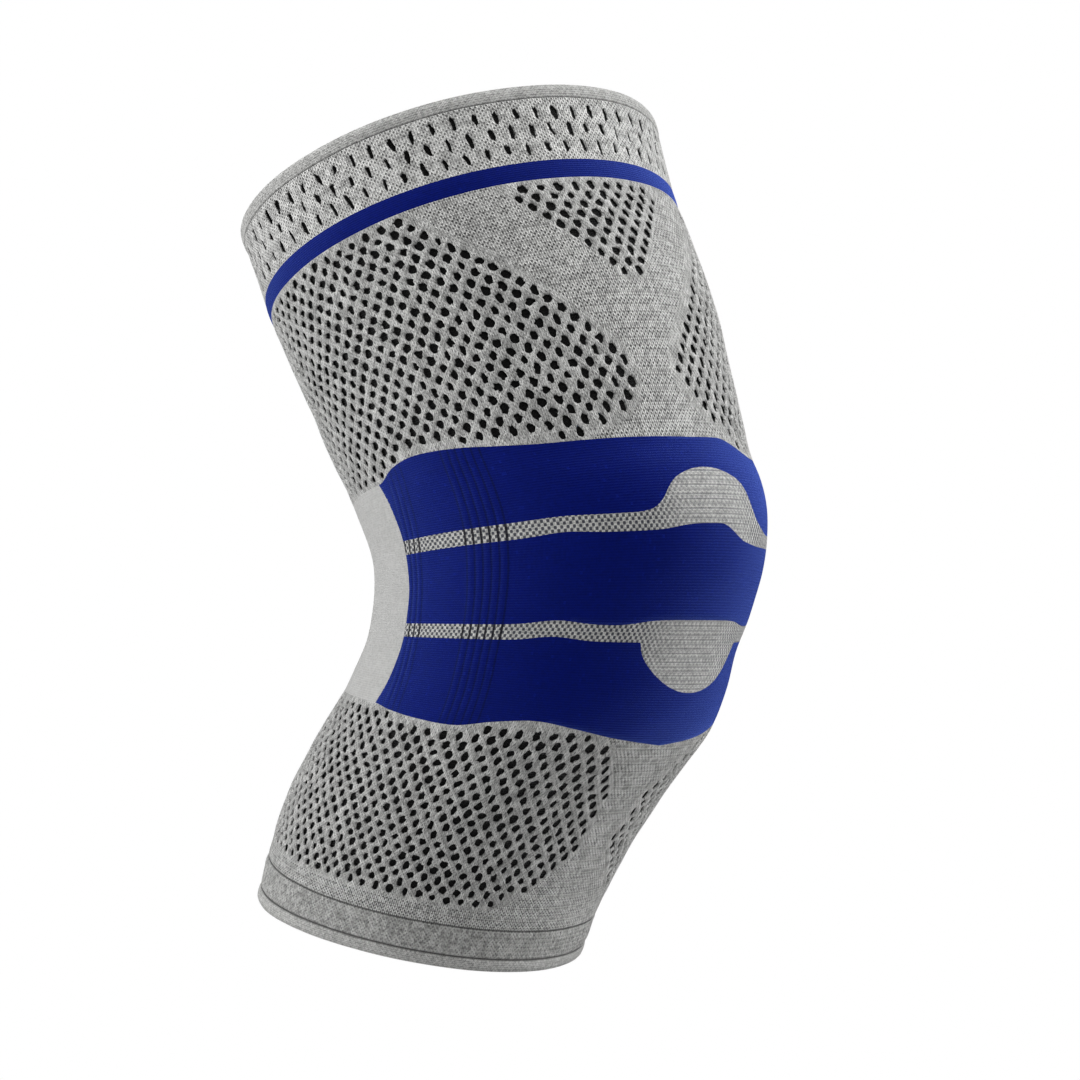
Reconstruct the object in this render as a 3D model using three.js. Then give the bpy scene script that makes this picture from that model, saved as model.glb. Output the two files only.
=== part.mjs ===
// A knee sleeve: one seamless knitted tube, shaped for a knee and kept in the bent form it is worn in.
// Millimetres, +Z up. The origin is the middle of the knee, and the knee cap faces -Y.
import * as THREE from "three";

// Lengths along the sleeve, up and down from the middle of the knee.
const thighLength = 163;
const calfLength = 137;

// Depth of the worn sleeve from front to back: at its top edge, at the knee and at its bottom edge.
const thighDepth = 154;
const kneeDepth = 142;
const calfDepth = 118;

// The bend: how far thigh and calf lean back, how far the knitted courses tilt, and how long the bend is.
const thighLean = 28.4;
const calfLean = 37;
const thighCourseTilt = 21;
const calfCourseTilt = 14;
const bendAbove = 97;
const bendBelow = 75;
const tiltAbove = 143;
const tiltBelow = 119;

// The knit sits a little turned on the leg: degrees at the knee, and how much more at either edge.
const kneeTwist = -3.5;
const thighTwist = -10;
const calfTwist = 8.6;

// Cloth thickness of each kind of knit, and the gap kept between neighbouring zones.
const netWall = 2;
const plainWall = 2.2;
const bandWall = 2.6;
const hemWall = 3;
const seamGap = 0.3;

// Heights of the edge zones, counted from each edge of the sleeve.
const thighHemHeight = 5.2;
const thighCuffHeight = 23.2;
const stripeHeight = 6.7;
const calfHemHeight = 5.3;
const ribbedRingHeight = 11.9;
const plainRingHeight = 7.2;

// Slots of the thigh cuff.
const slotsPerRow = 30;
const slotRows = 3;
const slotHeight = 5;
const slotWidth = 3;
const slotRowPitch = 6.4;

// Reach of the plain yoke and of its notch at the stripe, and of the shin strap at its foot, in degrees
// either side of the front line.
const yokeSpread = 53;
const notchSpread = 27;
const notchTip = 3;
const strapSpread = 27;

// The blue wrap: its height, how far it reaches round the leg, and the flare of its corners.
const wrapHeight = 86;
const wrapReach = 95;
const wrapFlare = 5;

// The two grey bands across it, and the half discs over the knee cap that they swell into.
const upperBandRise = 15.3;
const upperBandHeight = 5.7;
const upperBandDroop = 1.8;
const upperDiscHeight = 11.6;
const lowerBandDrop = 9.8;
const lowerBandHeight = 5;
const lowerDiscHeight = 14.8;
const discReach = 20.5;
const upperDiscFullness = 1;
const lowerDiscFullness = 0.6;

// Raised ribs knitted into the wrap: two groups on each side, placed in degrees round the leg.
const ribHeight = 0.5;
const ribPitch = 3.4;
const ribGroups = [
  { middle: 66, count: 4 },
  { middle: 89, count: 2 },
];

// How finely the solids are divided: facets round a full ring, and steps across and up the hollow panel,
// up the arms of the yoke, across the notch net and over half a disc.
const ringFacets = 36;
const hollowColumns = 16;
const hollowRows = 8;
const armRows = 3;
const notchColumns = 4;
const discSteps = 5;

// Sections of the worn form. The place is a share of the thigh or calf length, and the radii are shares
// of the depth named in the same row.
const sections = [
  { place: -1.0, depth: calfDepth, front: 0.54, back: 0.46, side: 0.5 },
  { place: -0.75, depth: calfDepth, front: 0.485, back: 0.555, side: 0.515 },
  { place: -0.5, depth: calfDepth, front: 0.505, back: 0.58, side: 0.525 },
  { place: -0.3, depth: kneeDepth, front: 0.475, back: 0.465, side: 0.44 },
  { place: -0.12, depth: kneeDepth, front: 0.515, back: 0.45, side: 0.435 },
  { place: 0.05, depth: kneeDepth, front: 0.55, back: 0.452, side: 0.445 },
  { place: 0.2, depth: kneeDepth, front: 0.535, back: 0.5, side: 0.465 },
  { place: 0.4, depth: thighDepth, front: 0.462, back: 0.508, side: 0.453 },
  { place: 0.6, depth: thighDepth, front: 0.474, back: 0.508, side: 0.475 },
  { place: 0.8, depth: thighDepth, front: 0.474, back: 0.512, side: 0.49 },
  { place: 1.0, depth: thighDepth, front: 0.51, back: 0.493, side: 0.501 },
];

// The wavy edges of the wrap by degrees from the front line, as shares of half its height.
const wrapEdges = [
  { degrees: 0, top: 0.98, foot: 1.09 },
  { degrees: 19, top: 0.98, foot: 1.03 },
  { degrees: 33, top: 0.98, foot: 0.97 },
  { degrees: 45, top: 0.985, foot: 0.935 },
  { degrees: 57, top: 1.0, foot: 0.975 },
  { degrees: 68, top: 1.04, foot: 1.04 },
  { degrees: 83, top: 1.085, foot: 1.02 },
  { degrees: 92, top: 1.045, foot: 0.98 },
  { degrees: 100, top: 0.98, foot: 0.93 },
  { degrees: 180, top: 0.98, foot: 0.93 },
];

// Half widths of the yoke and the shin strap, as shares of their spreads. The place is the share of the
// way from the wrap to the far end of the net beside them.
const yokeWidths = [
  { place: 0, width: 0.45 },
  { place: 0.04, width: 0.28 },
  { place: 0.1, width: 0.2 },
  { place: 0.22, width: 0.18 },
  { place: 0.4, width: 0.36 },
  { place: 1, width: 1 },
];
const notchPlace = 0.58;
const strapWidths = [
  { place: 0, width: 0.75 },
  { place: 0.12, width: 0.44 },
  { place: 0.3, width: 0.25 },
  { place: 0.6, width: 0.24 },
  { place: 0.76, width: 0.36 },
  { place: 0.9, width: 0.64 },
  { place: 1, width: 1 },
];

const radians = THREE.MathUtils.degToRad;
const heightOf = (place) => place * (place < 0 ? calfLength : thighLength);

// A smooth curve through knots of place and value, flat past both ends.
function curve(knots) {
  const slope = (i) => {
    const [before, after] = [Math.max(i - 1, 0), Math.min(i + 1, knots.length - 1)];
    return (knots[after][1] - knots[before][1]) / (knots[after][0] - knots[before][0]);
  };
  return (place) => {
    const inside = THREE.MathUtils.clamp(place, knots[0][0], knots.at(-1)[0]);
    const i = Math.max(knots.findIndex((knot) => knot[0] >= inside), 1) - 1;
    const span = knots[i + 1][0] - knots[i][0];
    const t = (inside - knots[i][0]) / span;
    const [from, to] = [knots[i][1], knots[i + 1][1]];
    const rise = to - from;
    const [leave, arrive] = [slope(i) * span, slope(i + 1) * span];
    return from + t * (leave + t * (3 * rise - 2 * leave - arrive + t * (leave + arrive - 2 * rise)));
  };
}
const through = (column) => curve(sections.map((row) => [heightOf(row.place), row[column] * row.depth]));
const frontRadius = through("front");
const backRadius = through("back");
const sideRadius = through("side");

// The lean of the sleeve's middle line, and the tilt of its courses, in radians at a height along it.
function ease(height, below, above, low, high) {
  return radians(low + (high - low) * THREE.MathUtils.smoothstep(height, -below, above));
}
const leanAt = (height) => ease(height, bendBelow, bendAbove, -calfLean, thighLean);
const tiltAt = (height) => ease(height, tiltBelow, tiltAbove, -calfCourseTilt, thighCourseTilt);

// The middle line, walked in short steps up and down from the knee.
const lineStep = 1;
function walk(length, direction) {
  const points = [[0, 0]];
  for (let height = 0; height < length + lineStep; height += lineStep) {
    const lean = leanAt(direction * (height + lineStep / 2));
    const [y, z] = points.at(-1);
    points.push([y + direction * lineStep * Math.sin(lean), z + direction * lineStep * Math.cos(lean)]);
  }
  return points;
}
const middleUp = walk(thighLength, 1);
const middleDown = walk(calfLength, -1);
function middleAt(height) {
  const points = height < 0 ? middleDown : middleUp;
  const along = Math.abs(height) / lineStep;
  const i = Math.min(Math.floor(along), points.length - 2);
  const mix = (k) => THREE.MathUtils.lerp(points[i][k], points[i + 1][k], along - i);
  return [mix(0), mix(1)];
}

function twistAt(height) {
  return kneeTwist + (height < 0 ? (-height / calfLength) * calfTwist : (height / thighLength) * thighTwist);
}

// A point of the sleeve: degrees round the knit from its front line, height along it, and distance
// outside its face.
function pointOn(degrees, height, outside) {
  const turn = radians(degrees + twistAt(height));
  const [cos, sin] = [Math.cos(turn), Math.sin(turn)];
  const reach = ((cos > 0 ? frontRadius : backRadius)(height) + outside) * cos;
  const [y, z] = middleAt(height);
  const tilt = tiltAt(height);
  const side = (sideRadius(height) + outside) * sin;
  return [side, y - reach * Math.cos(tilt), z + reach * Math.sin(tilt)];
}

// One knitted zone as a closed solid. Each cell is four corners of degrees and height; the outer and the
// inner face share them, and a wall closes every edge that only one cell has.
function knit(name, cells, wall, colour, relief = () => 0) {
  const positions = [];
  const numbers = new Map();
  const number = ([degrees, height]) => {
    const key = `${(((degrees % 360) + 360) % 360).toFixed(4)} ${height.toFixed(4)}`;
    if (!numbers.has(key)) {
      numbers.set(key, positions.length / 3);
      positions.push(...pointOn(degrees, height, relief(degrees)), ...pointOn(degrees, height, -wall));
    }
    return numbers.get(key);
  };
  const faces = [];
  const edges = new Map();
  for (const cell of cells) {
    const corners = cell.map(number).filter((corner, i, all) => corner !== all[(i + 1) % all.length]);
    for (let i = 1; i + 1 < corners.length; i += 1) {
      faces.push(corners[0], corners[i], corners[i + 1]);
      faces.push(corners[0] + 1, corners[i + 1] + 1, corners[i] + 1);
    }
    corners.forEach((from, i) => {
      const to = corners[(i + 1) % corners.length];
      if (!edges.delete(`${to} ${from}`)) edges.set(`${from} ${to}`, [from, to]);
    });
  }
  for (const [from, to] of edges.values()) {
    faces.push(to, from, from + 1, to, from + 1, to + 1);
  }
  const geometry = new THREE.BufferGeometry();
  geometry.setAttribute("position", new THREE.Float32BufferAttribute(positions, 3));
  geometry.setIndex(faces);
  geometry.computeVertexNormals();
  const material = new THREE.MeshStandardMaterial({ color: colour, roughness: 0.95, metalness: 0 });
  material.flatShading = true;
  const mesh = new THREE.Mesh(geometry, material);
  mesh.name = name;
  return mesh;
}

// Cells between neighbouring columns and rows, where a corner is worked out from its column and row.
function grid(columns, rows, corner) {
  const cells = [];
  for (let i = 0; i + 1 < columns.length; i += 1) {
    for (let j = 0; j + 1 < rows.length; j += 1) {
      const at = (a, b) => corner(columns[a], rows[b]);
      cells.push([at(i, j), at(i + 1, j), at(i + 1, j + 1), at(i, j + 1)]);
    }
  }
  return cells;
}

function spread(from, to, steps) {
  return Array.from({ length: steps + 1 }, (_, i) => from + ((to - from) * i) / steps);
}
const halfTurn = 180;
const fullTurn = 360;
const ringColumns = spread(0, fullTurn, ringFacets);
const plain = (degrees, height) => [degrees, height];
const halfGap = seamGap / 2;

const grey = 0xb9b9b6;
const paleGrey = 0xc6c6c3;
const blue = 0x101d86;

// Heights of the zones, stacked from both edges towards the knee.
const hemFoot = thighLength - thighHemHeight;
const cuffFoot = hemFoot - thighCuffHeight;
const stripeFoot = cuffFoot - stripeHeight;
const ribbedFoot = -calfLength + calfHemHeight;
const ribbedTop = ribbedFoot + ribbedRingHeight;
const calfNetFoot = ribbedTop + plainRingHeight;

function ring(name, foot, top, steps, wall, colour) {
  return knit(name, grid(ringColumns, spread(foot, top, steps), plain), wall, colour);
}

// Turned hems and plain rings: the edges of the tube, knitted double or dense.
function edgeRings() {
  return [
    ring("thigh_hem", hemFoot + halfGap, thighLength, 1, hemWall, grey),
    ring("thigh_stripe", stripeFoot + halfGap, cuffFoot - halfGap, 1, bandWall, blue),
    ring("calf_ring", ribbedTop + halfGap, calfNetFoot - halfGap, 1, plainWall, grey),
    ring("calf_cuff", ribbedFoot + halfGap, ribbedTop - halfGap, 2, bandWall, grey),
    ring("calf_hem", -calfLength, ribbedFoot - halfGap, 1, hemWall, grey),
  ];
}

// The grip cuff, pierced by rows of upright slots, each row staggered against the next.
function thighCuff() {
  const pitch = fullTurn / slotsPerRow;
  const radius = (thighDepth / 2 + sideRadius(cuffFoot)) / 2;
  const halfSlot = THREE.MathUtils.radToDeg(slotWidth / 2 / radius);
  const columns = [];
  for (let slot = 0; slot < slotsPerRow; slot += 1) {
    for (const middle of [slot * pitch, (slot + 0.5) * pitch]) {
      columns.push(middle - halfSlot, middle + halfSlot);
    }
  }
  columns.push(fullTurn - halfSlot);
  const centre = (cuffFoot + hemFoot) / 2;
  const rows = [cuffFoot + halfGap];
  for (let row = 0; row < slotRows; row += 1) {
    const middle = centre + (row - (slotRows - 1) / 2) * slotRowPitch;
    rows.push(middle - slotHeight / 2, middle + slotHeight / 2);
  }
  rows.push(hemFoot - halfGap);
  // Every second row and every second column of cells may be open: a slot is open where its row and its
  // column are both the first of their pair, or both the second.
  const rowsOfCells = rows.length - 1;
  const isCloth = (_, i) => {
    const [column, row] = [Math.floor(i / rowsOfCells), i % rowsOfCells];
    if (row % 2 === 0 || column % 2 === 1) return true;
    return (column / 2) % 2 !== ((row - 1) / 2) % 2;
  };
  return knit("thigh_cuff", grid(columns, rows, plain).filter(isCloth), bandWall, grey);
}

// Columns that the wrap shares with the nets above and below it, from its front line back to its corner
// and on across the hollow of the knee.
const wrapCorner = wrapReach + wrapFlare;
const cornerSteps = Math.round((wrapCorner / fullTurn) * ringFacets);
const sideStations = spread(0, wrapCorner, cornerSteps);
const rearStations = spread(wrapCorner, fullTurn - wrapCorner, hollowColumns);

// The top and bottom edge of the wrap by degrees round the leg, straight between two shared columns.
function wrapEdge(column) {
  const share = curve(wrapEdges.map((row) => [row.degrees, row[column]]));
  return (degrees) => {
    const away = Math.abs(degrees > halfTurn ? degrees - fullTurn : degrees);
    const next = Math.max(sideStations.findIndex((station) => station >= away), 1);
    const [near, far] = away > wrapCorner ? [away, away + 1] : sideStations.slice(next - 1, next + 1);
    const between = (away - near) / (far - near);
    return (THREE.MathUtils.lerp(share(near), share(far), between) * wrapHeight) / 2;
  };
}
const wrapTop = wrapEdge("top");
const lowEdge = wrapEdge("foot");
const wrapFoot = (degrees) => -lowEdge(degrees);

// Heights in the nets, by the share of the way from the wrap to the far end of the net.
const thighHeight = (degrees, share) => {
  return THREE.MathUtils.lerp(wrapTop(degrees) + halfGap, stripeFoot - halfGap, share);
};
const calfHeight = (degrees, share) => {
  return THREE.MathUtils.lerp(wrapFoot(degrees) - halfGap, calfNetFoot + halfGap, share);
};

// Half of the seam gap as degrees round the leg, for an edge given as degrees by height share.
function edgeGap(edge, heightIn, share) {
  const step = 0.01;
  const [low, high] = [Math.max(share - step, 0), Math.min(share + step, 1)];
  const radius = sideRadius(heightIn(0, share));
  const across = radians(edge(high) - edge(low)) * radius;
  const slant = across / (heightIn(0, high) - heightIn(0, low));
  return THREE.MathUtils.radToDeg((halfGap * Math.hypot(1, slant)) / radius);
}

const yokeShare = curve(yokeWidths.map((row) => [row.place, row.width]));
const strapShare = curve(strapWidths.map((row) => [row.place, row.width]));
const yokeHalf = (share) => yokeShare(share) * yokeSpread;
const strapHalf = (share) => strapShare(share) * strapSpread;
const notchHalf = (share) => THREE.MathUtils.mapLinear(share, notchPlace, 1, notchTip, notchSpread);

// Net all round the back and sides, from one edge of the plain knit in front to the other.
function netRound(name, shares, heightIn, half) {
  const edge = (share) => half(share) + edgeGap(half, heightIn, share);
  const sides = sideStations.filter((station) => station > edge(0) + 1);
  const mirrored = sides.map((station) => fullTurn - station).reverse();
  const between = [...sides.slice(0, -1), ...rearStations, ...mirrored.slice(1)];
  const columns = [edge(0), ...between, fullTurn - edge(0)];
  const cells = grid(columns, shares, (column, share) => {
    const around = (column - edge(0)) / (fullTurn - 2 * edge(0));
    const degrees = THREE.MathUtils.lerp(edge(share), fullTurn - edge(share), around);
    return [degrees, heightIn(degrees, share)];
  });
  return knit(name, cells, netWall, grey);
}

// The thigh: eyelet net round the back and sides, a plain yoke in front, and a net triangle in its notch.
function thigh() {
  const places = yokeWidths.map((row) => row.place);
  const stemShares = [...places.filter((place) => place < notchPlace), notchPlace];
  const armShares = spread(notchPlace, 1, armRows);
  const outer = (share) => yokeHalf(share) - edgeGap(yokeHalf, thighHeight, share);
  const inner = (share) => notchHalf(share) + edgeGap(notchHalf, thighHeight, share);
  const tip = inner(notchPlace);
  const stem = grid([-2, -1, 0, 1, 2], stemShares, (column, share) => {
    const away = Math.abs(column) > 1 ? outer(share) : Math.min(tip, outer(share) / 2);
    const degrees = Math.sign(column) * away;
    return [degrees, thighHeight(degrees, share)];
  });
  const arm = (edges) =>
    grid([0, 1], armShares, (column, share) => {
      const degrees = edges[column](share);
      return [degrees, thighHeight(degrees, share)];
    });
  const left = arm([(share) => -outer(share), (share) => -inner(share)]);
  const right = arm([inner, outer]);
  const notchShares = [notchPlace + seamGap / (stripeFoot - wrapTop(0)), ...armShares.slice(1)];
  const notch = grid(spread(-1, 1, notchColumns), notchShares, (across, share) => {
    const degrees = across * (notchHalf(share) - edgeGap(notchHalf, thighHeight, share));
    return [degrees, thighHeight(degrees, share)];
  });
  return [
    netRound("thigh_net", [...stemShares, ...armShares.slice(1)], thighHeight, yokeHalf),
    knit("thigh_yoke", [...stem, ...left, ...right], plainWall, paleGrey),
    knit("thigh_notch_net", notch, netWall, grey),
  ];
}

// The calf: eyelet net round the back and sides, and a plain strap down the shin.
function calf() {
  const shares = strapWidths.map((row) => row.place).reverse();
  const strap = grid([-1, -0.5, 0, 0.5, 1], shares, (across, share) => {
    const degrees = across * (strapHalf(share) - edgeGap(strapHalf, calfHeight, share));
    return [degrees, calfHeight(degrees, share)];
  });
  return [
    netRound("calf_net", shares, calfHeight, strapHalf),
    knit("calf_strap", strap, plainWall, paleGrey),
  ];
}

// Ribs stand up from the wrap in waves, each group a whole number of them.
function ribRelief(degrees) {
  const away = Math.abs(degrees);
  const group = ribGroups.find(({ middle, count }) => Math.abs(away - middle) < (count * ribPitch) / 2);
  if (!group) return 0;
  const along = (away - group.middle) / ribPitch + group.count / 2;
  return (ribHeight * (1 - Math.cos(2 * Math.PI * along))) / 2;
}

// Columns of the wrap on one side: the shared ones, close ones over the half disc, and two to each rib.
function sideColumns() {
  const fine = spread(0, 90, discSteps).map((angle) => discReach * Math.sin(radians(angle)));
  for (const { middle, count } of ribGroups) {
    const start = middle - (count * ribPitch) / 2;
    fine.push(...spread(start, start + count * ribPitch, 2 * count));
  }
  const shared = sideStations.slice(0, -1);
  const apart = 0.2;
  const isOwn = (degrees) => shared.every((other) => Math.abs(other - degrees) > apart);
  const own = fine.filter((degrees) => degrees < wrapReach && isOwn(degrees));
  return [...shared, ...own].sort((a, b) => a - b);
}

// The blue wrap in three parts, with the two grey bands between them.
function wrap() {
  const side = sideColumns();
  const mirrored = side.slice(1).map((degrees) => -degrees).reverse();
  const columns = [-wrapCorner, ...mirrored, ...side, wrapCorner];
  const wrapEnd = (height) => wrapReach + wrapFlare * ((2 * height) / wrapHeight) ** 2;
  const gapDegrees = (height) => THREE.MathUtils.radToDeg(halfGap / sideRadius(height));
  const disc = (degrees, fullness) => {
    const away = Math.min(Math.abs(degrees) / discReach, 1);
    return Math.max(Math.cos((away * Math.PI) / 2), 0) ** fullness;
  };
  const droop = (degrees) => upperBandDroop * Math.min(Math.abs(degrees) / wrapReach, 1) ** 3;
  const upperTop = upperBandRise + upperBandHeight;
  const edges = [
    (degrees) => wrapTop(degrees),
    (degrees) => upperTop - droop(degrees) + upperDiscHeight * disc(degrees, upperDiscFullness),
    (degrees) => upperBandRise - droop(degrees),
    () => -lowerBandDrop,
    (degrees) => -lowerBandDrop - lowerBandHeight - lowerDiscHeight * disc(degrees, lowerDiscFullness),
    (degrees) => wrapFoot(degrees),
  ];
  const band = (name, order, steps, wall, colour) => {
    const [over, under] = [edges[order], edges[order + 1]];
    const cells = grid(columns, spread(0, 1, steps), (column, share) => {
      const high = over(column) - halfGap;
      const low = under(column) + halfGap;
      const height = THREE.MathUtils.lerp(low, high, share);
      const end = Math.abs(column) === wrapCorner;
      return [end ? Math.sign(column) * (wrapEnd(height) - gapDegrees(height)) : column, height];
    });
    return knit(name, cells, wall, colour, ribRelief);
  };
  const hollowShares = spread(0, 1, hollowRows);
  const hollow = grid(rearStations, hollowShares, (column, share) => {
    const height = THREE.MathUtils.lerp(wrapFoot(column) + halfGap, wrapTop(column) - halfGap, share);
    const end = wrapEnd(height) + gapDegrees(height);
    const around = (column - wrapCorner) / (fullTurn - 2 * wrapCorner);
    return [THREE.MathUtils.lerp(end, fullTurn - end, around), height];
  });
  return [
    band("knee_band_upper", 0, 2, bandWall, blue),
    band("patella_band_upper", 1, 1, plainWall, grey),
    band("knee_band_middle", 2, 2, bandWall, blue),
    band("patella_band_lower", 3, 1, plainWall, grey),
    band("knee_band_lower", 4, 2, bandWall, blue),
    knit("hollow_panel", hollow, plainWall, paleGrey),
  ];
}

export default new THREE.Group().add(...edgeRings(), thighCuff(), ...thigh(), ...wrap(), ...calf());
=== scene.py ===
# A knee sleeve, worn and bent: one seamless tube of grey elastic knit with a blue wrap round the knee.
import math

import bpy
import numpy as np
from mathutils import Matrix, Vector
from mathutils.geometry import delaunay_2d_cdt


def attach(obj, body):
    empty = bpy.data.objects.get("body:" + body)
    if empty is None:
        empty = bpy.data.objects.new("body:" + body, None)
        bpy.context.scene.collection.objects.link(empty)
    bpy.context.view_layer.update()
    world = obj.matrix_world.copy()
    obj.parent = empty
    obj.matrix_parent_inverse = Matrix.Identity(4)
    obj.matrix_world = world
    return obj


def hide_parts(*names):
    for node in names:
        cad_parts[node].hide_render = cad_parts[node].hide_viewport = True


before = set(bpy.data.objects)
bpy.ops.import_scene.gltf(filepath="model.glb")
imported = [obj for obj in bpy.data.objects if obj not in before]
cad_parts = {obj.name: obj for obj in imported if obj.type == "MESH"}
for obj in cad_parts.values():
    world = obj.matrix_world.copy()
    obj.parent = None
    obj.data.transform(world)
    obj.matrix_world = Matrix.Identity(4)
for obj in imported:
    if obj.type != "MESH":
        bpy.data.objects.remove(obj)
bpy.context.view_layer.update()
MM = 0.001


# Thigh hem
# The turned top edge of the tube. The knit is folded over and linked down, so it is double, round at its
# lip and drawn in where it is linked. The worn form that every zone lies on is worked out here.
# Lengths, depths and heights are in millimetres, and angles in degrees. The middle line leans from the
# calf's angle to the thigh's between BEND_BELOW and BEND_ABOVE the knee, and the courses tilt likewise.
THIGH_LENGTH, CALF_LENGTH = 163.0, 137.0
THIGH_DEPTH, KNEE_DEPTH, CALF_DEPTH = 154.0, 142.0, 118.0
THIGH_LEAN, CALF_LEAN = 28.4, -37.0
THIGH_TILT, CALF_TILT = 21.0, -14.0
BEND_ABOVE, BEND_BELOW = 97.0, 75.0
TILT_ABOVE, TILT_BELOW = 143.0, 119.0
KNEE_TWIST, THIGH_TWIST, CALF_TWIST = -3.5, -10.0, 8.6

# The place is a share of the thigh or calf length, and the radii are shares of the depth beside it.
SECTIONS = [
    # place, depth, front, back, side
    (-1.00, CALF_DEPTH, 0.540, 0.460, 0.500),
    (-0.75, CALF_DEPTH, 0.485, 0.555, 0.515),
    (-0.50, CALF_DEPTH, 0.505, 0.580, 0.525),
    (-0.30, KNEE_DEPTH, 0.486, 0.465, 0.440),
    (-0.21, KNEE_DEPTH, 0.497, 0.457, 0.437),
    (-0.12, KNEE_DEPTH, 0.497, 0.450, 0.435),
    (-0.04, KNEE_DEPTH, 0.522, 0.450, 0.438),
    (0.05, KNEE_DEPTH, 0.554, 0.452, 0.445),
    (0.13, KNEE_DEPTH, 0.561, 0.474, 0.453),
    (0.20, KNEE_DEPTH, 0.540, 0.500, 0.465),
    (0.27, KNEE_DEPTH, 0.500, 0.520, 0.475),
    (0.40, THIGH_DEPTH, 0.454, 0.508, 0.453),
    (0.60, THIGH_DEPTH, 0.474, 0.508, 0.475),
    (0.80, THIGH_DEPTH, 0.474, 0.512, 0.490),
    (1.00, THIGH_DEPTH, 0.510, 0.493, 0.501),
]


def curve(knots):
    """A smooth curve through knots of place and value, flat past both ends."""
    places, values = np.array(knots, float).T
    last = len(places) - 1
    before = np.maximum(np.arange(last + 1) - 1, 0)
    after = np.minimum(np.arange(last + 1) + 1, last)
    slopes = (values[after] - values[before]) / (places[after] - places[before])

    def value_at(place):
        inside = np.clip(place, places[0], places[-1])
        i = np.clip(np.searchsorted(places, inside), 1, last) - 1
        span = places[i + 1] - places[i]
        t = (inside - places[i]) / span
        rise = values[i + 1] - values[i]
        leave, arrive = slopes[i] * span, slopes[i + 1] * span
        return values[i] + t * (leave + t * (3 * rise - 2 * leave - arrive + t * (leave + arrive - 2 * rise)))

    return value_at


def through(column):
    """The curve through one column of the sections, by height along the sleeve."""
    knots = []
    for row in SECTIONS:
        length = THIGH_LENGTH if row[0] > 0 else CALF_LENGTH
        knots.append((row[0] * length, row[column] * row[1]))
    return curve(knots)


front_radius, back_radius, side_radius = through(2), through(3), through(4)


def ease(height, below, above, low, high):
    """An angle in radians that turns smoothly from low to high between two heights."""
    t = np.clip((height + below) / (above + below), 0, 1)
    return np.radians(low + (high - low) * t * t * (3 - 2 * t))


# The middle line of the tube, walked in short steps from below its foot to above its top.
LINE_STEP, LINE_SPARE = 1.0, 4.0
line_heights = np.arange(-CALF_LENGTH - LINE_SPARE, THIGH_LENGTH + LINE_SPARE + LINE_STEP, LINE_STEP)
leans = ease(line_heights[:-1] + LINE_STEP / 2, BEND_BELOW, BEND_ABOVE, CALF_LEAN, THIGH_LEAN)
line_y = np.concatenate(([0], np.cumsum(LINE_STEP * np.sin(leans))))
line_z = np.concatenate(([0], np.cumsum(LINE_STEP * np.cos(leans))))
line_y -= np.interp(0, line_heights, line_y)
line_z -= np.interp(0, line_heights, line_z)


def worn(degrees, height, outside):
    """Points of the worn sleeve in metres: degrees round the knit, height along it, distance outside it."""
    twist = np.where(height < 0, -height / CALF_LENGTH * CALF_TWIST, height / THIGH_LENGTH * THIGH_TWIST)
    turn = np.radians(degrees + KNEE_TWIST + twist)
    depth = np.where(np.cos(turn) > 0, front_radius(height), back_radius(height)) + outside
    reach = depth * np.cos(turn)
    tilt = ease(height, TILT_BELOW, TILT_ABOVE, CALF_TILT, THIGH_TILT)
    x = (side_radius(height) + outside) * np.sin(turn)
    y = np.interp(height, line_heights, line_y) - reach * np.cos(tilt)
    z = np.interp(height, line_heights, line_z) + reach * np.sin(tilt)
    return np.stack([x, y, z], -1) * MM


# Flat pattern: millimetres round the knit, with the same number of stitches in every course.
ROUND = 452.4
FLAT = ROUND / 360
RING_STEPS = 216

# Two soft waves in the cloth. Each is a wave round the knit, which leans as it goes along it, times a
# wave along the knit.
UNEVEN_WAVES = [
    # height, waves round, lean, start, along, start
    (0.22, 5, 0.11, 0, 0.083, 1.3),
    (0.1, 13, -0.17, 0.8, 0.19, 0),
]


def unevenness(degrees, height):
    """Where the cloth lies a little proud or slack: a soft swell, the same for zones that meet."""
    total = 0
    for rise, waves, lean, start, along, along_start in UNEVEN_WAVES:
        round_wave = np.sin(np.radians(waves * degrees) + lean * height + start)
        total = total + rise * (round_wave * np.sin(along * height + along_start))
    return total


# An edge that turns by more degrees than this is kept crisp.
CRISP_ANGLE = 72


def cloth(name, points, faces, flats, kinds, looks):
    """A mesh object of triangles: points in metres, flat places in millimetres as UV, a look per face."""
    mesh = bpy.data.meshes.new(name)
    mesh.vertices.add(len(points))
    mesh.vertices.foreach_set("co", points.astype(np.float32).ravel())
    mesh.loops.add(faces.size)
    mesh.loops.foreach_set("vertex_index", faces.astype(np.int32).ravel())
    mesh.polygons.add(len(faces))
    mesh.polygons.foreach_set("loop_start", np.arange(0, faces.size, 3, dtype=np.int32))
    mesh.polygons.foreach_set("material_index", kinds.astype(np.int32))
    mesh.update(calc_edges=True)
    layer = mesh.uv_layers.new(name="knit")
    layer.data.foreach_set("uv", flats.astype(np.float32).ravel())
    for look in looks:
        mesh.materials.append(look)
    mesh.polygons.foreach_set("use_smooth", np.ones(len(faces), dtype=bool))
    mesh.set_sharp_from_angle(angle=math.radians(CRISP_ANGLE))
    piece = bpy.data.objects.new(name, mesh)
    bpy.context.scene.collection.objects.link(piece)
    return piece


def worn_as(piece, node):
    """The piece stands for its zone of the tube."""
    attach(piece, "root")
    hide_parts(node)


# The corners of a quad that make its two triangles.
TRIANGLE_PAIR = [0, 1, 2, 0, 2, 3]


def quads_to_triangles(quads):
    """Two triangles for each row of four corners."""
    return quads[:, TRIANGLE_PAIR].reshape(-1, 3)


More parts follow.
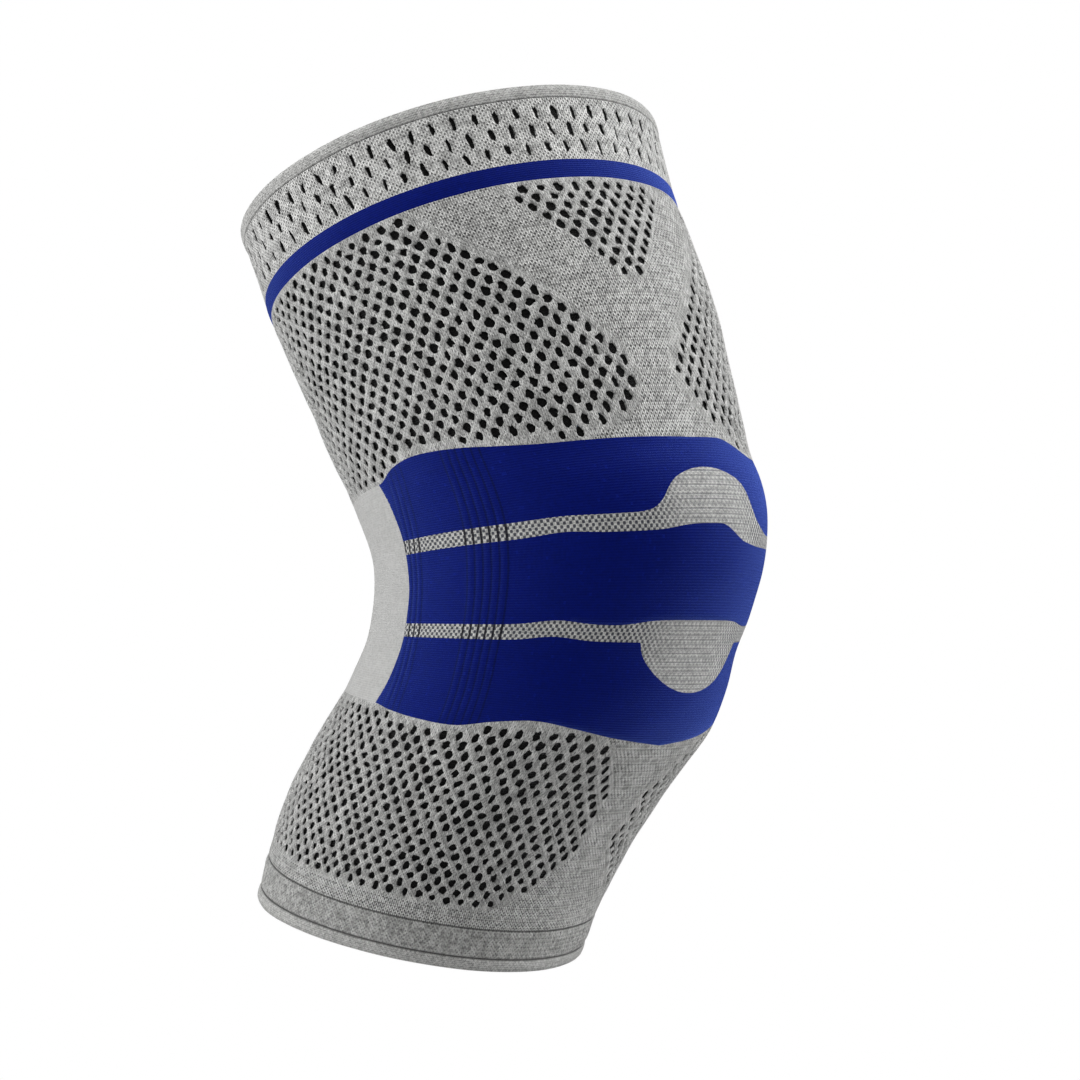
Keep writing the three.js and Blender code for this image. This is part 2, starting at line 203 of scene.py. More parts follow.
def knit_grid(name, degrees, heights, outsides, looks, closed):
    """A zone knitted from grids of rows by columns: the first half of the rows is the outer face going
    up, the second half is the inner face coming down."""
    rows, columns = degrees.shape
    points = worn(degrees, heights, outsides).reshape(-1, 3)
    steps = columns if closed else columns - 1
    r, c = np.meshgrid(np.arange(rows), np.arange(steps), indexing="ij")
    above, beside = (r + 1) % rows, (c + 1) % columns
    corners = [r * columns + c, r * columns + beside, above * columns + beside, above * columns + c]
    quads = np.stack(corners, -1)
    flat = np.stack([degrees * FLAT, heights], -1).reshape(-1, 2)
    quad_flat = flat[quads]
    if closed:
        quad_flat[:, -1, 1:3, 0] = quad_flat[:, -1, [0, 3], 0] + ROUND / columns
    quads, quad_flat = quads.reshape(-1, 4), quad_flat.reshape(-1, 4, 2)
    kinds = np.where(r >= rows // 2, 1, 0).ravel()
    kinds[(r == rows - 1).ravel()] = 0
    if not closed:
        half = rows // 2
        up = np.arange(half - 1)
        for column, order in ((0, [0, 1, 2, 3]), (columns - 1, [3, 2, 1, 0])):
            ends = np.stack([up, up + 1, rows - 2 - up, rows - 1 - up], -1) * columns + column
            quads = np.concatenate([quads, ends[:, order]])
            quad_flat = np.concatenate([quad_flat, flat[ends[:, order]]])
            kinds = np.concatenate([kinds, np.zeros(len(ends), int)])
    flats = quad_flat[:, TRIANGLE_PAIR].reshape(-1, 3, 2)
    return cloth(name, points, quads_to_triangles(quads), flats, np.repeat(kinds, 2), looks)


def knit_ring(name, profile, wall, looks, relief=None, steps=RING_STEPS):
    """A zone all round the tube. The profile is rows of height and distance outside, going up."""
    profile = np.array(profile, float)
    inner = profile[::-1].copy()
    inner[:, 1] = -wall
    rows = np.concatenate([profile, inner])
    around = np.arange(steps) * 360 / steps
    degrees, heights = np.meshgrid(around, rows[:, 0])
    outsides = np.repeat(rows[:, 1:], steps, 1) + unevenness(degrees, heights)
    if relief is not None:
        outer = len(profile)
        outsides[:outer] += relief(degrees[:outer], heights[:outer])
    return knit_grid(name, degrees, heights, outsides, looks, closed=True)


def node_group(name, inputs, outputs):
    """An empty shader node group with its sockets: inputs of name and value, outputs of name."""
    group = bpy.data.node_groups.new(name, "ShaderNodeTree")
    for label, value in inputs:
        group.interface.new_socket(label, in_out="INPUT", socket_type="NodeSocketFloat").default_value = value
    for label in outputs:
        group.interface.new_socket(label, in_out="OUTPUT", socket_type="NodeSocketFloat")
    return group, group.nodes.new("NodeGroupInput").outputs, group.nodes.new("NodeGroupOutput").inputs


def reckon(tree, operation, *values):
    """A math node on sockets or numbers, and its result."""
    node = tree.nodes.new("ShaderNodeMath")
    node.operation = operation
    for socket, value in zip(node.inputs, values):
        if isinstance(value, (int, float)):
            socket.default_value = value
        else:
            tree.links.new(value, socket)
    return node.outputs[0]


def rescale(tree, value, low, high, to_low=0.0, to_high=1.0):
    """A value brought smoothly from one range to another, held at both ends."""
    node = tree.nodes.new("ShaderNodeMapRange")
    node.interpolation_type = "SMOOTHSTEP"
    for label, number in (("From Min", low), ("From Max", high), ("To Min", to_low), ("To Max", to_high)):
        node.inputs[label].default_value = number
    tree.links.new(value, node.inputs["Value"])
    return node.outputs["Result"]


def flat_place(tree):
    """Millimetres round the knit and along it."""
    spot = tree.nodes.new("ShaderNodeUVMap")
    spot.uv_map = "knit"
    split = tree.nodes.new("ShaderNodeSeparateXYZ")
    tree.links.new(spot.outputs["UV"], split.inputs[0])
    return split.outputs["X"], split.outputs["Y"]


def cloth_noise(tree, size):
    """Noise in the cloth itself, of features of a size in millimetres."""
    place = tree.nodes.new("ShaderNodeTexCoord")
    noise = tree.nodes.new("ShaderNodeTexNoise")
    noise.inputs["Scale"].default_value = 1 / (size * MM)
    tree.links.new(place.outputs["Object"], noise.inputs["Vector"])
    return noise.outputs["Fac"]


# Stitches: upright columns of small Vs. Each has its own chance shade, as spun yarn has. The columns
# wander in patches, the legs of a V are round, and part of their height is the same along a loop.
WANDER_PATCH, LEG_ROUNDNESS, LOOP_SHARE = 2.5, 0.6, 0.65
stitches, given, result = node_group(
    "knit stitches", [("Wale", 1.05), ("Course", 0.9), ("Slant", 0.8), ("Wander", 0.2)], ["Height", "Chance"]
)
across, along = flat_place(stitches)
wander = reckon(stitches, "SUBTRACT", cloth_noise(stitches, WANDER_PATCH), 0.5)
wander = reckon(stitches, "MULTIPLY", wander, given["Wander"])
column = reckon(stitches, "ADD", reckon(stitches, "DIVIDE", across, given["Wale"]), wander)
from_middle = reckon(stitches, "SUBTRACT", reckon(stitches, "FRACT", column), 0.5)
from_middle = reckon(stitches, "ABSOLUTE", from_middle)
leg = reckon(stitches, "MULTIPLY", from_middle, 2.0)
course = reckon(stitches, "ADD", reckon(stitches, "DIVIDE", along, given["Course"]), wander)
course = reckon(stitches, "SUBTRACT", course, reckon(stitches, "MULTIPLY", leg, given["Slant"]))
loop = reckon(stitches, "COSINE", reckon(stitches, "MULTIPLY", course, 2 * math.pi))
loop = reckon(stitches, "MULTIPLY_ADD", loop, 0.5, 0.5)
round_leg = reckon(stitches, "SINE", reckon(stitches, "MULTIPLY", leg, math.pi))
round_leg = reckon(stitches, "POWER", round_leg, LEG_ROUNDNESS)
loop = reckon(stitches, "MULTIPLY_ADD", loop, LOOP_SHARE, 1 - LOOP_SHARE)
height = reckon(stitches, "MULTIPLY", round_leg, loop)
stitches.links.new(height, result["Height"])
cell = stitches.nodes.new("ShaderNodeCombineXYZ")
stitches.links.new(reckon(stitches, "FLOOR", column), cell.inputs[0])
stitches.links.new(reckon(stitches, "FLOOR", course), cell.inputs[1])
chance = stitches.nodes.new("ShaderNodeTexWhiteNoise")
chance.noise_dimensions = "2D"
stitches.links.new(cell.outputs[0], chance.inputs["Vector"])
stitches.links.new(chance.outputs["Value"], result["Chance"])

# Yarn: the tone of one stitch. Its hollow, where its height is low, is painted darker as shade; its chance,
# the fuzz of its fibres and a slow drift vary its tone.
CROWN_SHADE, FUZZ_SIZE, DRIFT_SIZE = 0.85, 0.45, 16.0
yarn, given, result = node_group(
    "yarn tone and hollow shade",
    [("Height", 0.5), ("Chance", 0.5), ("Depth", 0.5), ("Fleck", 0.3), ("Fuzz", 0.4), ("Drift", 0.2)],
    ["Shade"],
)
hollow = reckon(yarn, "MULTIPLY", reckon(yarn, "SUBTRACT", 1.0, given["Height"]), given["Depth"])
fleck = reckon(yarn, "MULTIPLY", reckon(yarn, "SUBTRACT", given["Chance"], 0.5), given["Fleck"])
fuzz = reckon(yarn, "SUBTRACT", cloth_noise(yarn, FUZZ_SIZE), 0.5)
fuzz = reckon(yarn, "MULTIPLY", fuzz, given["Fuzz"])
drift = reckon(yarn, "SUBTRACT", cloth_noise(yarn, DRIFT_SIZE), 0.5)
drift = reckon(yarn, "MULTIPLY", drift, given["Drift"])
shade = reckon(yarn, "ADD", reckon(yarn, "SUBTRACT", CROWN_SHADE, hollow), fleck)
shade = reckon(yarn, "ADD", reckon(yarn, "ADD", shade, fuzz), drift)
yarn.links.new(shade, result["Shade"])


def place_group(tree, group, **values):
    """A group placed in a material with its own values, numbers or sockets."""
    node = tree.nodes.new("ShaderNodeGroup")
    node.node_tree = group
    for label, value in values.items():
        if isinstance(value, (int, float)):
            node.inputs[label].default_value = value
        else:
            tree.links.new(value, node.inputs[label])
    return node.outputs


def blend_colours(tree, share, low, high):
    """A colour between two, each a colour or a socket, by a share from 0 to 1."""
    node = tree.nodes.new("ShaderNodeMix")
    node.data_type = "RGBA"
    tree.links.new(share, node.inputs["Factor"])
    for label, value in (("A", low), ("B", high)):
        socket = next(s for s in node.inputs if s.name == label and s.type == "RGBA")
        if isinstance(value, tuple):
            socket.default_value = (*value, 1)
        else:
            tree.links.new(value, socket)
    return next(s for s in node.outputs if s.type == "RGBA")


def yarn_tone_and_hollow_shade(tree, knit, depth, fleck, fuzz, drift):
    """The tone of each stitch of a knit: painted shade in its hollow by its height, and tone by its chance.
    """
    values = {"Depth": depth, "Fleck": fleck, "Fuzz": fuzz, "Drift": drift}
    return place_group(tree, yarn, Height=knit["Height"], Chance=knit["Chance"], **values)["Shade"]


NAP_ROUGHNESS = 0.45


def start_look(name, rough, sheen, sheen_tint=(1, 1, 1), gloss=0.2):
    """A cloth material: its tree and its shader, with the finish that is the same all over."""
    look = bpy.data.materials.new(name)
    look.use_nodes = True
    shader = look.node_tree.nodes["Principled BSDF"].inputs
    shader["Roughness"].default_value = rough
    shader["Specular IOR Level"].default_value = gloss
    shader["Sheen Weight"].default_value = sheen
    shader["Sheen Roughness"].default_value = NAP_ROUGHNESS
    shader["Sheen Tint"].default_value = (*sheen_tint, 1)
    return look, look.node_tree, shader


def raise_bump(tree, shader, height, relief):
    """Relief in millimetres, from a height of 0 to 1."""
    bump = tree.nodes.new("ShaderNodeBump")
    bump.inputs["Distance"].default_value = relief * MM
    bump.inputs["Strength"].default_value = 1.0
    tree.links.new(height, bump.inputs["Height"])
    tree.links.new(bump.outputs["Normal"], shader["Normal"])


def lattice_dots(tree, pitch, low, high):
    """Dots in a staggered lattice, from 0 between them to 1 in their middles."""
    lines = []
    for line in flat_place(tree):
        lines.append(reckon(tree, "COSINE", reckon(tree, "MULTIPLY", line, 2 * math.pi / pitch)))
    return rescale(tree, reckon(tree, "MULTIPLY", *lines), low, high)


# Grey yarn, and the gaps between its stitches, where shade is painted in near black. They open more in one
# patch than in the next.
GREY_ROUGHNESS, GREY_SHEEN, GREY_DRIFT = 0.85, 0.25, 0.12
PALE_YARN = (1.0, 1.0, 0.98)
CHANCE_RISE = 0.3
GAP_PITCH, GAP_SIZE = ROUND / 256, 0.75
GAP_PATCH, GAP_PATCH_LOW, GAP_PATCH_HIGH, GAP_LEAST = 1.6, 0.35, 0.6, 0.35
GAP_PAINTED_SHADE = (0.015, 0.015, 0.015)


def knit_look(name, dark, light, wale, course, slant, relief, depth, fleck, fuzz=0.5, wander=0.2, gaps=0.0):
    """Knit of one yarn: stitches of a size in millimetres, with painted shade from a dark hollow to a
    light crown, and gaps of painted near-black shade of some strength between them."""
    look, tree, shader = start_look(name, GREY_ROUGHNESS, GREY_SHEEN)
    knit = place_group(tree, stitches, Wale=wale, Course=course, Slant=slant, Wander=wander)
    colour = blend_colours(tree, yarn_tone_and_hollow_shade(tree, knit, depth, fleck, fuzz, GREY_DRIFT), dark, light)
    top = reckon(tree, "MULTIPLY_ADD", knit["Chance"], CHANCE_RISE, knit["Height"])
    if gaps:
        patches = cloth_noise(tree, GAP_PATCH)
        open_by = rescale(tree, patches, GAP_PATCH_LOW, GAP_PATCH_HIGH, GAP_LEAST * gaps, gaps)
        mask = reckon(tree, "MULTIPLY", lattice_dots(tree, GAP_PITCH, 0.0, GAP_SIZE), open_by)
        colour = blend_colours(tree, mask, colour, GAP_PAINTED_SHADE)
        top = reckon(tree, "SUBTRACT", top, mask)
    tree.links.new(colour, shader["Base Color"])
    raise_bump(tree, shader, top, relief)
    return look


# The wale is a whole part of the way round, so that the columns meet where a ring closes.
# The inner face, and the depths of the pits and eyelets, are painted near black: painted shade inside the
# tube.
inside_painted_shade_look = knit_look(
    "inside painted shade", (0.001, 0.001, 0.001), (0.012, 0.012, 0.012),
    wale=ROUND / 432, course=0.9, slant=0.8, relief=0.2, depth=0.6, fleck=0.3,
)
hem_look = knit_look(
    "hem knit", (0.06, 0.06, 0.058), (0.86, 0.86, 0.84),
    wale=ROUND / 480, course=0.8, slant=0.5, relief=0.2, depth=0.6, fleck=0.3, fuzz=0.4, gaps=0.3,
)

HEM_HEIGHT, HEM_WALL, HEM_FULLNESS = 5.2, 3.0, 0.5
LIP_HEIGHT, LIP_DEPTH, LIP_ANGLES = 1.2, 1.3, (0, 25, 50, 75)
# The groove where a course is linked: its half width and depth, and the painted shade in it, darkest in its
# core.
GROOVE_HALF, GROOVE_DEPTH, GROOVE_CORE, GROOVE_DARKNESS = 0.5, 0.45, 0.4, 0.75
GROOVE_PAINTED_SHADE = (0.03, 0.03, 0.03)
hem_foot = THIGH_LENGTH - HEM_HEIGHT


def paint_groove_shade(look, height):
    """Painted shade in the thin groove where a course is linked down, at a height along the sleeve."""
    tree = look.node_tree
    shader = tree.nodes["Principled BSDF"].inputs
    off = reckon(tree, "ABSOLUTE", reckon(tree, "SUBTRACT", flat_place(tree)[1], height))
    mask = rescale(tree, off, GROOVE_CORE * GROOVE_HALF, GROOVE_HALF, GROOVE_DARKNESS, 0.0)
    shaded = blend_colours(tree, mask, shader["Base Color"].links[0].from_socket, GROOVE_PAINTED_SHADE)
    tree.links.new(shaded, shader["Base Color"])


paint_groove_shade(hem_look, hem_foot)


def hem_profile(foot, lip, direction):
    """Rows of a turned edge, from its linked foot over its round lip. The direction is 1 up, -1 down."""
    rows = [(foot, -GROOVE_DEPTH), (foot + GROOVE_HALF * direction, 0.1)]
    for share in (0.2, 0.4, 0.6, 0.75):
        belly = HEM_FULLNESS * math.sin(math.pi * (0.15 + 0.7 * share))
        rows.append((foot + (lip - foot) * share, belly))
    for angle in LIP_ANGLES:
        a = math.radians(angle)
        from_lip = LIP_HEIGHT - LIP_HEIGHT * math.sin(a)
        rows.append((lip - direction * from_lip, HEM_FULLNESS * 0.5 - LIP_DEPTH * (1 - math.cos(a))))
    return rows if direction > 0 else rows[::-1]


thigh_hem = knit_ring(
    "thigh_hem_knit", hem_profile(hem_foot, THIGH_LENGTH, 1), HEM_WALL, [hem_look, inside_painted_shade_look]
)
worn_as(thigh_hem, "thigh_hem")


# Thigh cuff
# The grip band under the hem: a dense knit with three staggered rows of upright slots, each where a few
# needles are left out. Here they are pits, no two quite alike, whose depths are painted near black as shade.
CUFF_HEIGHT, CUFF_WALL = 23.2, 2.0
CUFF_SPACING, CUFF_MARGIN, CUFF_SIDE_POINTS = 2.1, 0.9, 12
SLOTS_PER_ROW, SLOT_ROWS, SLOT_ROW_PITCH = 64, 3, 6.6
SLOT_HALF_WIDTH, SLOT_HALF_HEIGHT, SLOT_ROOM, SLOT_CORNERS = 0.9, 2.35, 3.3, 0.7
SLOT_UNLIKE, SLOT_LEAN = 0.17, 2
SLOT_DRIFT_ROUND, SLOT_DRIFT_ALONG = 0.25, 0.4
SLOT_CLEARANCE = (2.1, 3.7)
cuff_foot = hem_foot - CUFF_HEIGHT

# Pits: each has a rim of so many corners, with a low crest round it, and its wall falls past a throat to
# its floor. The knit is heaped up away from a border, and the inner face has points far apart.
OUTLINE_POINTS = 12
CREST_REACH, THROAT_REACH, FLOOR_REACH = 0.3, 0.95, 1.0
RIM_DROP, THROAT_DEPTH, PIT_DEPTH = 0.05, 0.4, 1.4
HEAP_FADE = 3.5
INNER_SPACING, INNER_MARGIN = 5.0, 1.5

# The least length of a rim's offset, how near flat points count as one, and how far apart the rows of a
# staggered lattice stand as a share of its spacing.
SHORTEST, WELD, EVEN_ROW = 0.01, 1e-6, 0.87


def area_of(points, faces):
    """Signed area of each flat triangle."""
    a, b, c = (points[faces[:, i]] for i in range(3))
    return ((b[:, 0] - a[:, 0]) * (c[:, 1] - a[:, 1]) - (b[:, 1] - a[:, 1]) * (c[:, 0] - a[:, 0])) / 2


def triangulate(border_count, hole_count, points):
    """Triangles of flat points: a border, then outlines of holes of OUTLINE_POINTS each, then loose ones."""
    i = np.arange(border_count)
    edges = [np.stack([i, (i + 1) % border_count], -1)]
    hole, k = np.meshgrid(np.arange(hole_count), np.arange(OUTLINE_POINTS), indexing="ij")
    start = border_count + hole * OUTLINE_POINTS
    edges.append(np.stack([start + k, start + (k + 1) % OUTLINE_POINTS], -1).reshape(-1, 2))
    edges = np.concatenate(edges).tolist()
    made = delaunay_2d_cdt([Vector(p) for p in points.tolist()], edges, [], 1, WELD, True)
    first = np.array([ids[0] if ids else -1 for ids in made[3]])
    faces = first[np.array(made[2])]
    faces = faces[(faces >= 0).all(1)]
    flip = area_of(points, faces) < 0
    faces[flip] = faces[flip][:, ::-1]
    # Three corners on one hole in its own order fill that hole, and three on the border against its
    # order lie outside it.
    owner = np.where(faces < border_count, -1, (faces - border_count) // OUTLINE_POINTS)
    owner[owner >= hole_count] = -2
    same = (owner[:, 0] == owner[:, 1]) & (owner[:, 1] == owner[:, 2])
    a, b, c = faces.T
    ordered = ((a < b).astype(int) + (b < c) + (c < a)) == 2
    fills = same & (owner[:, 0] >= 0) & ordered
    outside = same & (owner[:, 0] == -1) & ~ordered
    return faces[~(fills | outside)]


def inside_by(points, outline):
    """How far each point lies inside a closed outline, negative outside it."""
    ends = np.roll(outline, -1, 0)
    best = np.full(len(points), np.inf)
    crossings = np.zeros(len(points), int)
    for (x0, y0), (x1, y1) in zip(outline, ends):
        along = np.array([x1 - x0, y1 - y0])
        t = np.clip(((points - (x0, y0)) @ along) / max(along @ along, 1e-12), 0, 1)
        near = np.hypot(points[:, 0] - x0 - t * along[0], points[:, 1] - y0 - t * along[1])
        best = np.minimum(best, near)
        spans = (y0 > points[:, 1]) != (y1 > points[:, 1])
        if y1 != y0:
            crossings += spans & (points[:, 0] < x0 + (points[:, 1] - y0) / (y1 - y0) * along[0])
    return np.where(crossings % 2 == 1, best, -best)


def pierced(name, outline, centres, rims, loose, wall, heap, looks, seam=None):
    """A zone of flat outline with blind pits in it. Below their throats the pits' walls and floors, like the
    inner face, are painted near black as shade. The rims are offsets from the centres, and the heap is how
    proud the knit lies between pits. The seam is the flat place where a ring closes."""
    border, holes = len(outline), len(centres)
    length = np.maximum(np.linalg.norm(rims, axis=-1, keepdims=True), SHORTEST)
    reach = {"rim": 1, "crest": 1 + CREST_REACH / length, "throat": THROAT_REACH, "floor": FLOOR_REACH}
    ring = {key: (centres[:, None] + rims * scale).reshape(-1, 2) for key, scale in reach.items()}
    inner_loose = loose_points(outline, INNER_SPACING, INNER_MARGIN)
    outer_flat = np.concatenate([outline, ring["rim"], ring["crest"], loose])
    inner_flat = np.concatenate([outline, inner_loose])
    parts = [outer_flat, ring["throat"], ring["floor"], centres, inner_flat]
    throat_start, floor_start, centre_start, inner_start = np.cumsum([len(part) for part in parts])[:-1]
    flat = np.concatenate(parts)
    rim_count = holes * OUTLINE_POINTS
    outside = np.full(len(flat), -wall)
    outside[:border] = 0
    outside[border : border + rim_count] = -RIM_DROP
    proud = slice(border + rim_count, throat_start)
    outside[proud] = heap * np.clip(inside_by(flat[proud], outline) / HEAP_FADE, 0, 1) if heap else 0
    outside[throat_start:floor_start] = -THROAT_DEPTH
    outside[floor_start:inner_start] = -PIT_DEPTH
    degrees = flat[:, 0] / FLAT
    outside += unevenness(degrees, flat[:, 1])
    hole, k = np.meshgrid(np.arange(holes), np.arange(OUTLINE_POINTS), indexing="ij")
    this, following = hole * OUTLINE_POINTS + k, hole * OUTLINE_POINTS + (k + 1) % OUTLINE_POINTS

    def walls(high, low):
        quads = np.stack([high + this, high + following, low + following, low + this], -1)
        return quads_to_triangles(quads.reshape(-1, 4))

    i = np.arange(border)
    j = (i + 1) % border
    if seam is not None:
        at_seam = np.isclose(outline[:, 0], seam) | np.isclose(outline[:, 0], seam + ROUND)
        keep = ~(at_seam[i] & at_seam[j])
        i, j = i[keep], j[keep]
    pale = [
        triangulate(border, holes, outer_flat),
        walls(border, throat_start),
        quads_to_triangles(np.stack([j, i, inner_start + i, inner_start + j], -1)),
    ]
    # Walls below the throat, pit floors and the inner face: painted near-black shade.
    dark = [
        walls(throat_start, floor_start),
        np.stack([floor_start + this, floor_start + following, centre_start + hole], -1).reshape(-1, 3),
        triangulate(border, 0, inner_flat)[:, ::-1] + inner_start,
    ]
    faces = np.concatenate(pale + dark)
    kinds = np.repeat([0, 1], [sum(map(len, pale)), sum(map(len, dark))])
    flats = flat[faces]
    if seam is not None:
        # The points on the far side of the seam become those on its near side.
        number = np.arange(len(flat))
        for start in (0, inner_start):
            near = {round(outline[n, 1], 4): n for n in range(border) if math.isclose(outline[n, 0], seam)}
            for n in range(border):
                if math.isclose(outline[n, 0], seam + ROUND):
                    number[start + n] = start + near[round(outline[n, 1], 4)]
        faces = number[faces]
    used, faces = np.unique(faces, return_inverse=True)
    points = worn(degrees, flat[:, 1], outside)[used]
    return cloth(name, points, faces.reshape(-1, 3), flats, kinds, looks)


cuff_look = knit_look(
    "cuff knit", (0.04, 0.04, 0.039), PALE_YARN,
    wale=ROUND / 256, course=1.4, slant=0.8, relief=0.4, depth=0.45, fleck=0.45,
    fuzz=0.3, wander=0.15, gaps=0.75,
)

# How unlike the pits are: where their first corner stands, the limits of their size, the wobble of each
# corner, the tail at the foot of a few, and how far each is turned, in degrees.
rng = np.random.default_rng(7)
FIRST_CORNER = 0.1
LEAST_SIZE, MOST_SIZE = 0.6, 1.35
WOBBLE, LEAST_WOBBLE, MOST_WOBBLE = 0.16, 0.72, 1.3
TAIL_PLACE, TAIL_WIDTH, TAIL_REACH = 1.5 * math.pi, 0.4, 0.5
TURN_SPREAD = 5


def ragged(count, half_width, half_height, unlike, lean, most, corners=1.0):
    """Outlines of pits in knit: twelve-cornered, each a little different, with a few drawn to a tail.
    No corner lies further from the centre than the most that each has room for."""
    angle = np.linspace(0, 2 * math.pi, OUTLINE_POINTS, endpoint=False) + FIRST_CORNER
    size = np.clip(1 + unlike * rng.standard_normal((count, 1, 2)), LEAST_SIZE, MOST_SIZE)
    unit = np.stack([np.cos(angle), np.sin(angle)], -1)
    shape = np.sign(unit) * np.abs(unit) ** corners * (half_width, half_height) * size
    chances = rng.standard_normal((count, OUTLINE_POINTS, 1))
    wobble = np.clip(1 + WOBBLE * chances, LEAST_WOBBLE, MOST_WOBBLE)
    pulled = np.exp(-(((angle - TAIL_PLACE) / TAIL_WIDTH) ** 2))[None, :, None]
    tail = 1 + TAIL_REACH * rng.random((count, 1, 1)) ** 2 * pulled
    turned = np.radians(lean + TURN_SPREAD * rng.standard_normal(count))
    cos, sin = np.cos(turned)[:, None], np.sin(turned)[:, None]
    shape = shape * wobble * tail
    x, y = shape[..., 0], shape[..., 1]
    shape = np.stack([x * cos - y * sin, x * sin + y * cos], -1)
    length = np.linalg.norm(shape, axis=-1, keepdims=True)
    return shape * np.minimum(1, np.reshape(most, (-1, 1, 1)) / length)


def loose_points(outline, spacing, margin):
    """Points in a staggered lattice inside an outline, clear of its border."""
    low, high = outline.min(0), outline.max(0)
    rows = np.arange(low[1], high[1], spacing * EVEN_ROW)
    columns = np.arange(low[0], high[0], spacing)
    x, y = np.meshgrid(columns, rows)
    x = x + (np.arange(len(rows)) % 2)[:, None] * spacing / 2
    lattice = np.stack([x, y], -1).reshape(-1, 2)
    return lattice[inside_by(lattice, outline) > margin]


# The ring closes between two slots, a quarter of their pitch from the nearest ones.
slot_pitch = ROUND / SLOTS_PER_ROW
cuff_seam = -ROUND / 2 + slot_pitch / 4
cuff_x = np.linspace(cuff_seam, cuff_seam + ROUND, RING_STEPS + 1)
cuff_y = np.linspace(cuff_foot, hem_foot, CUFF_SIDE_POINTS)
cuff_outline = np.concatenate(
    [
        np.stack([cuff_x, np.full_like(cuff_x, cuff_foot)], -1),
        np.stack([np.full_like(cuff_y, cuff_x[-1]), cuff_y], -1)[1:-1],
        np.stack([cuff_x, np.full_like(cuff_x, hem_foot)], -1)[::-1],
        np.stack([np.full_like(cuff_y, cuff_x[0]), cuff_y], -1)[1:-1][::-1],
    ]
)
row, slot_number = np.meshgrid(np.arange(SLOT_ROWS), np.arange(SLOTS_PER_ROW), indexing="ij")
drift_round = SLOT_DRIFT_ROUND * rng.uniform(-1, 1, row.shape)
drift_along = SLOT_DRIFT_ALONG * rng.uniform(-1, 1, row.shape)
slot_x = cuff_seam + (slot_number + 0.25 + 0.5 * (row % 2)) * slot_pitch + drift_round
slot_y = (cuff_foot + hem_foot) / 2 + (row - 1) * SLOT_ROW_PITCH + drift_along
slot_centres = np.stack([slot_x, slot_y], -1).reshape(-1, 2)
slot_rims = ragged(
    len(slot_centres), SLOT_HALF_WIDTH, SLOT_HALF_HEIGHT, SLOT_UNLIKE, SLOT_LEAN, SLOT_ROOM, SLOT_CORNERS
)
cuff_loose = loose_points(cuff_outline, CUFF_SPACING, CUFF_MARGIN)
from_slots = (cuff_loose[:, None] - slot_centres[None]) / np.array(SLOT_CLEARANCE)
cuff_loose = cuff_loose[(np.hypot(from_slots[..., 0], from_slots[..., 1]) > 1).all(1)]

thigh_cuff = pierced(
    "thigh_cuff_knit", cuff_outline, slot_centres, slot_rims, cuff_loose, CUFF_WALL, 0,
    [cuff_look, inside_painted_shade_look], seam=cuff_seam,
)
worn_as(thigh_cuff, "thigh_cuff")


# Thigh stripe
# A blue line knitted in round the thigh, of the same dense yarn as the wrap.
STRIPE_HEIGHT, STRIPE_FULLNESS, STRIPE_ROWS = 6.7, 0.18, 6
BAND_WALL = 2.3
BLUE, BLUE_HOLLOW_PAINTED_SHADE, BLUE_PAINTED_GLINT = (0.001, 0.006, 0.165), (0.0005, 0.003, 0.08), (0.004, 0.014, 0.26)
BLUE_NAP = (0.16, 0.27, 1.0)
GLINT_CHANCE = 0.985

# Dense elastic knit in deep blue: fine courses, painted shade in its stitch hollows, a few painted glints on
# stitch crowns, and light on its nap.
blue_look, tree, shader = start_look("blue knit", 0.8, 1.0, BLUE_NAP, gloss=0.02)
knit = place_group(tree, stitches, Wale=ROUND / 540, Course=0.76, Slant=0.15, Wander=0.25)
shade = yarn_tone_and_hollow_shade(tree, knit, depth=0.5, fleck=0.35, fuzz=0.5, drift=0.25)
ground = blend_colours(tree, shade, BLUE_HOLLOW_PAINTED_SHADE, BLUE)
# A few random stitch crowns get a brighter blue: painted glints.
painted_glint = reckon(tree, "MULTIPLY", rescale(tree, knit["Chance"], GLINT_CHANCE, 1.0), knit["Height"])
tree.links.new(blend_colours(tree, painted_glint, ground, BLUE_PAINTED_GLINT), shader["Base Color"])
raise_bump(tree, shader, knit["Height"], 0.1)

stripe_foot = cuff_foot - STRIPE_HEIGHT
stripe_profile = [
    (stripe_foot + STRIPE_HEIGHT * share, STRIPE_FULLNESS * math.sin(math.pi * share))
    for share in np.linspace(0, 1, STRIPE_ROWS)
]
thigh_stripe = knit_ring("thigh_stripe_knit", stripe_profile, BAND_WALL, [blue_look, inside_painted_shade_look])
worn_as(thigh_stripe, "thigh_stripe")


# Thigh net and notch net
# An eyelet net all round the thigh but for the yoke in front, and a triangle of it in the yoke's notch.
# The eyelets stand in staggered rows, a little over six millimetres apart, with the yarn heaped round each.
WRAP_HEIGHT, WRAP_SAG = 86.0, 5.0
NET_WALL, NET_HEAP, NET_MARGIN = 2.0, 0.25, 0.45
EYELETS_ROUND, EYELET_ROW_PITCH = 72, 3.45
EYELET_RADIUS, EYELET_TALLNESS, EYELET_UNLIKE = 1.55, 1.06, 0.12
EYELET_ROOM, LEAST_ROOM, EDGE_ROOM = 2.0, 0.5, 0.6
EYELET_JITTER, EYELET_DRIFT_ROUND, EYELET_DRIFT_ALONG = 0.16, 0.25, 0.2
THIGH_ROW_START = 0.6
YOKE_SPREAD, YOKE_SHIFT = 53.0, -3.5
NOTCH_SPREAD, NOTCH_TIP, NOTCH_PLACE, NOTCH_POINTS = 29.0, 3.5, 0.565, 20
EDGE_STEP, EDGE_POINTS = 2.0, 60
SAG_START, SAG_END, SAG_FADE_START, SAG_FADE_END = 12.0, 32.0, 45.0, 80.0
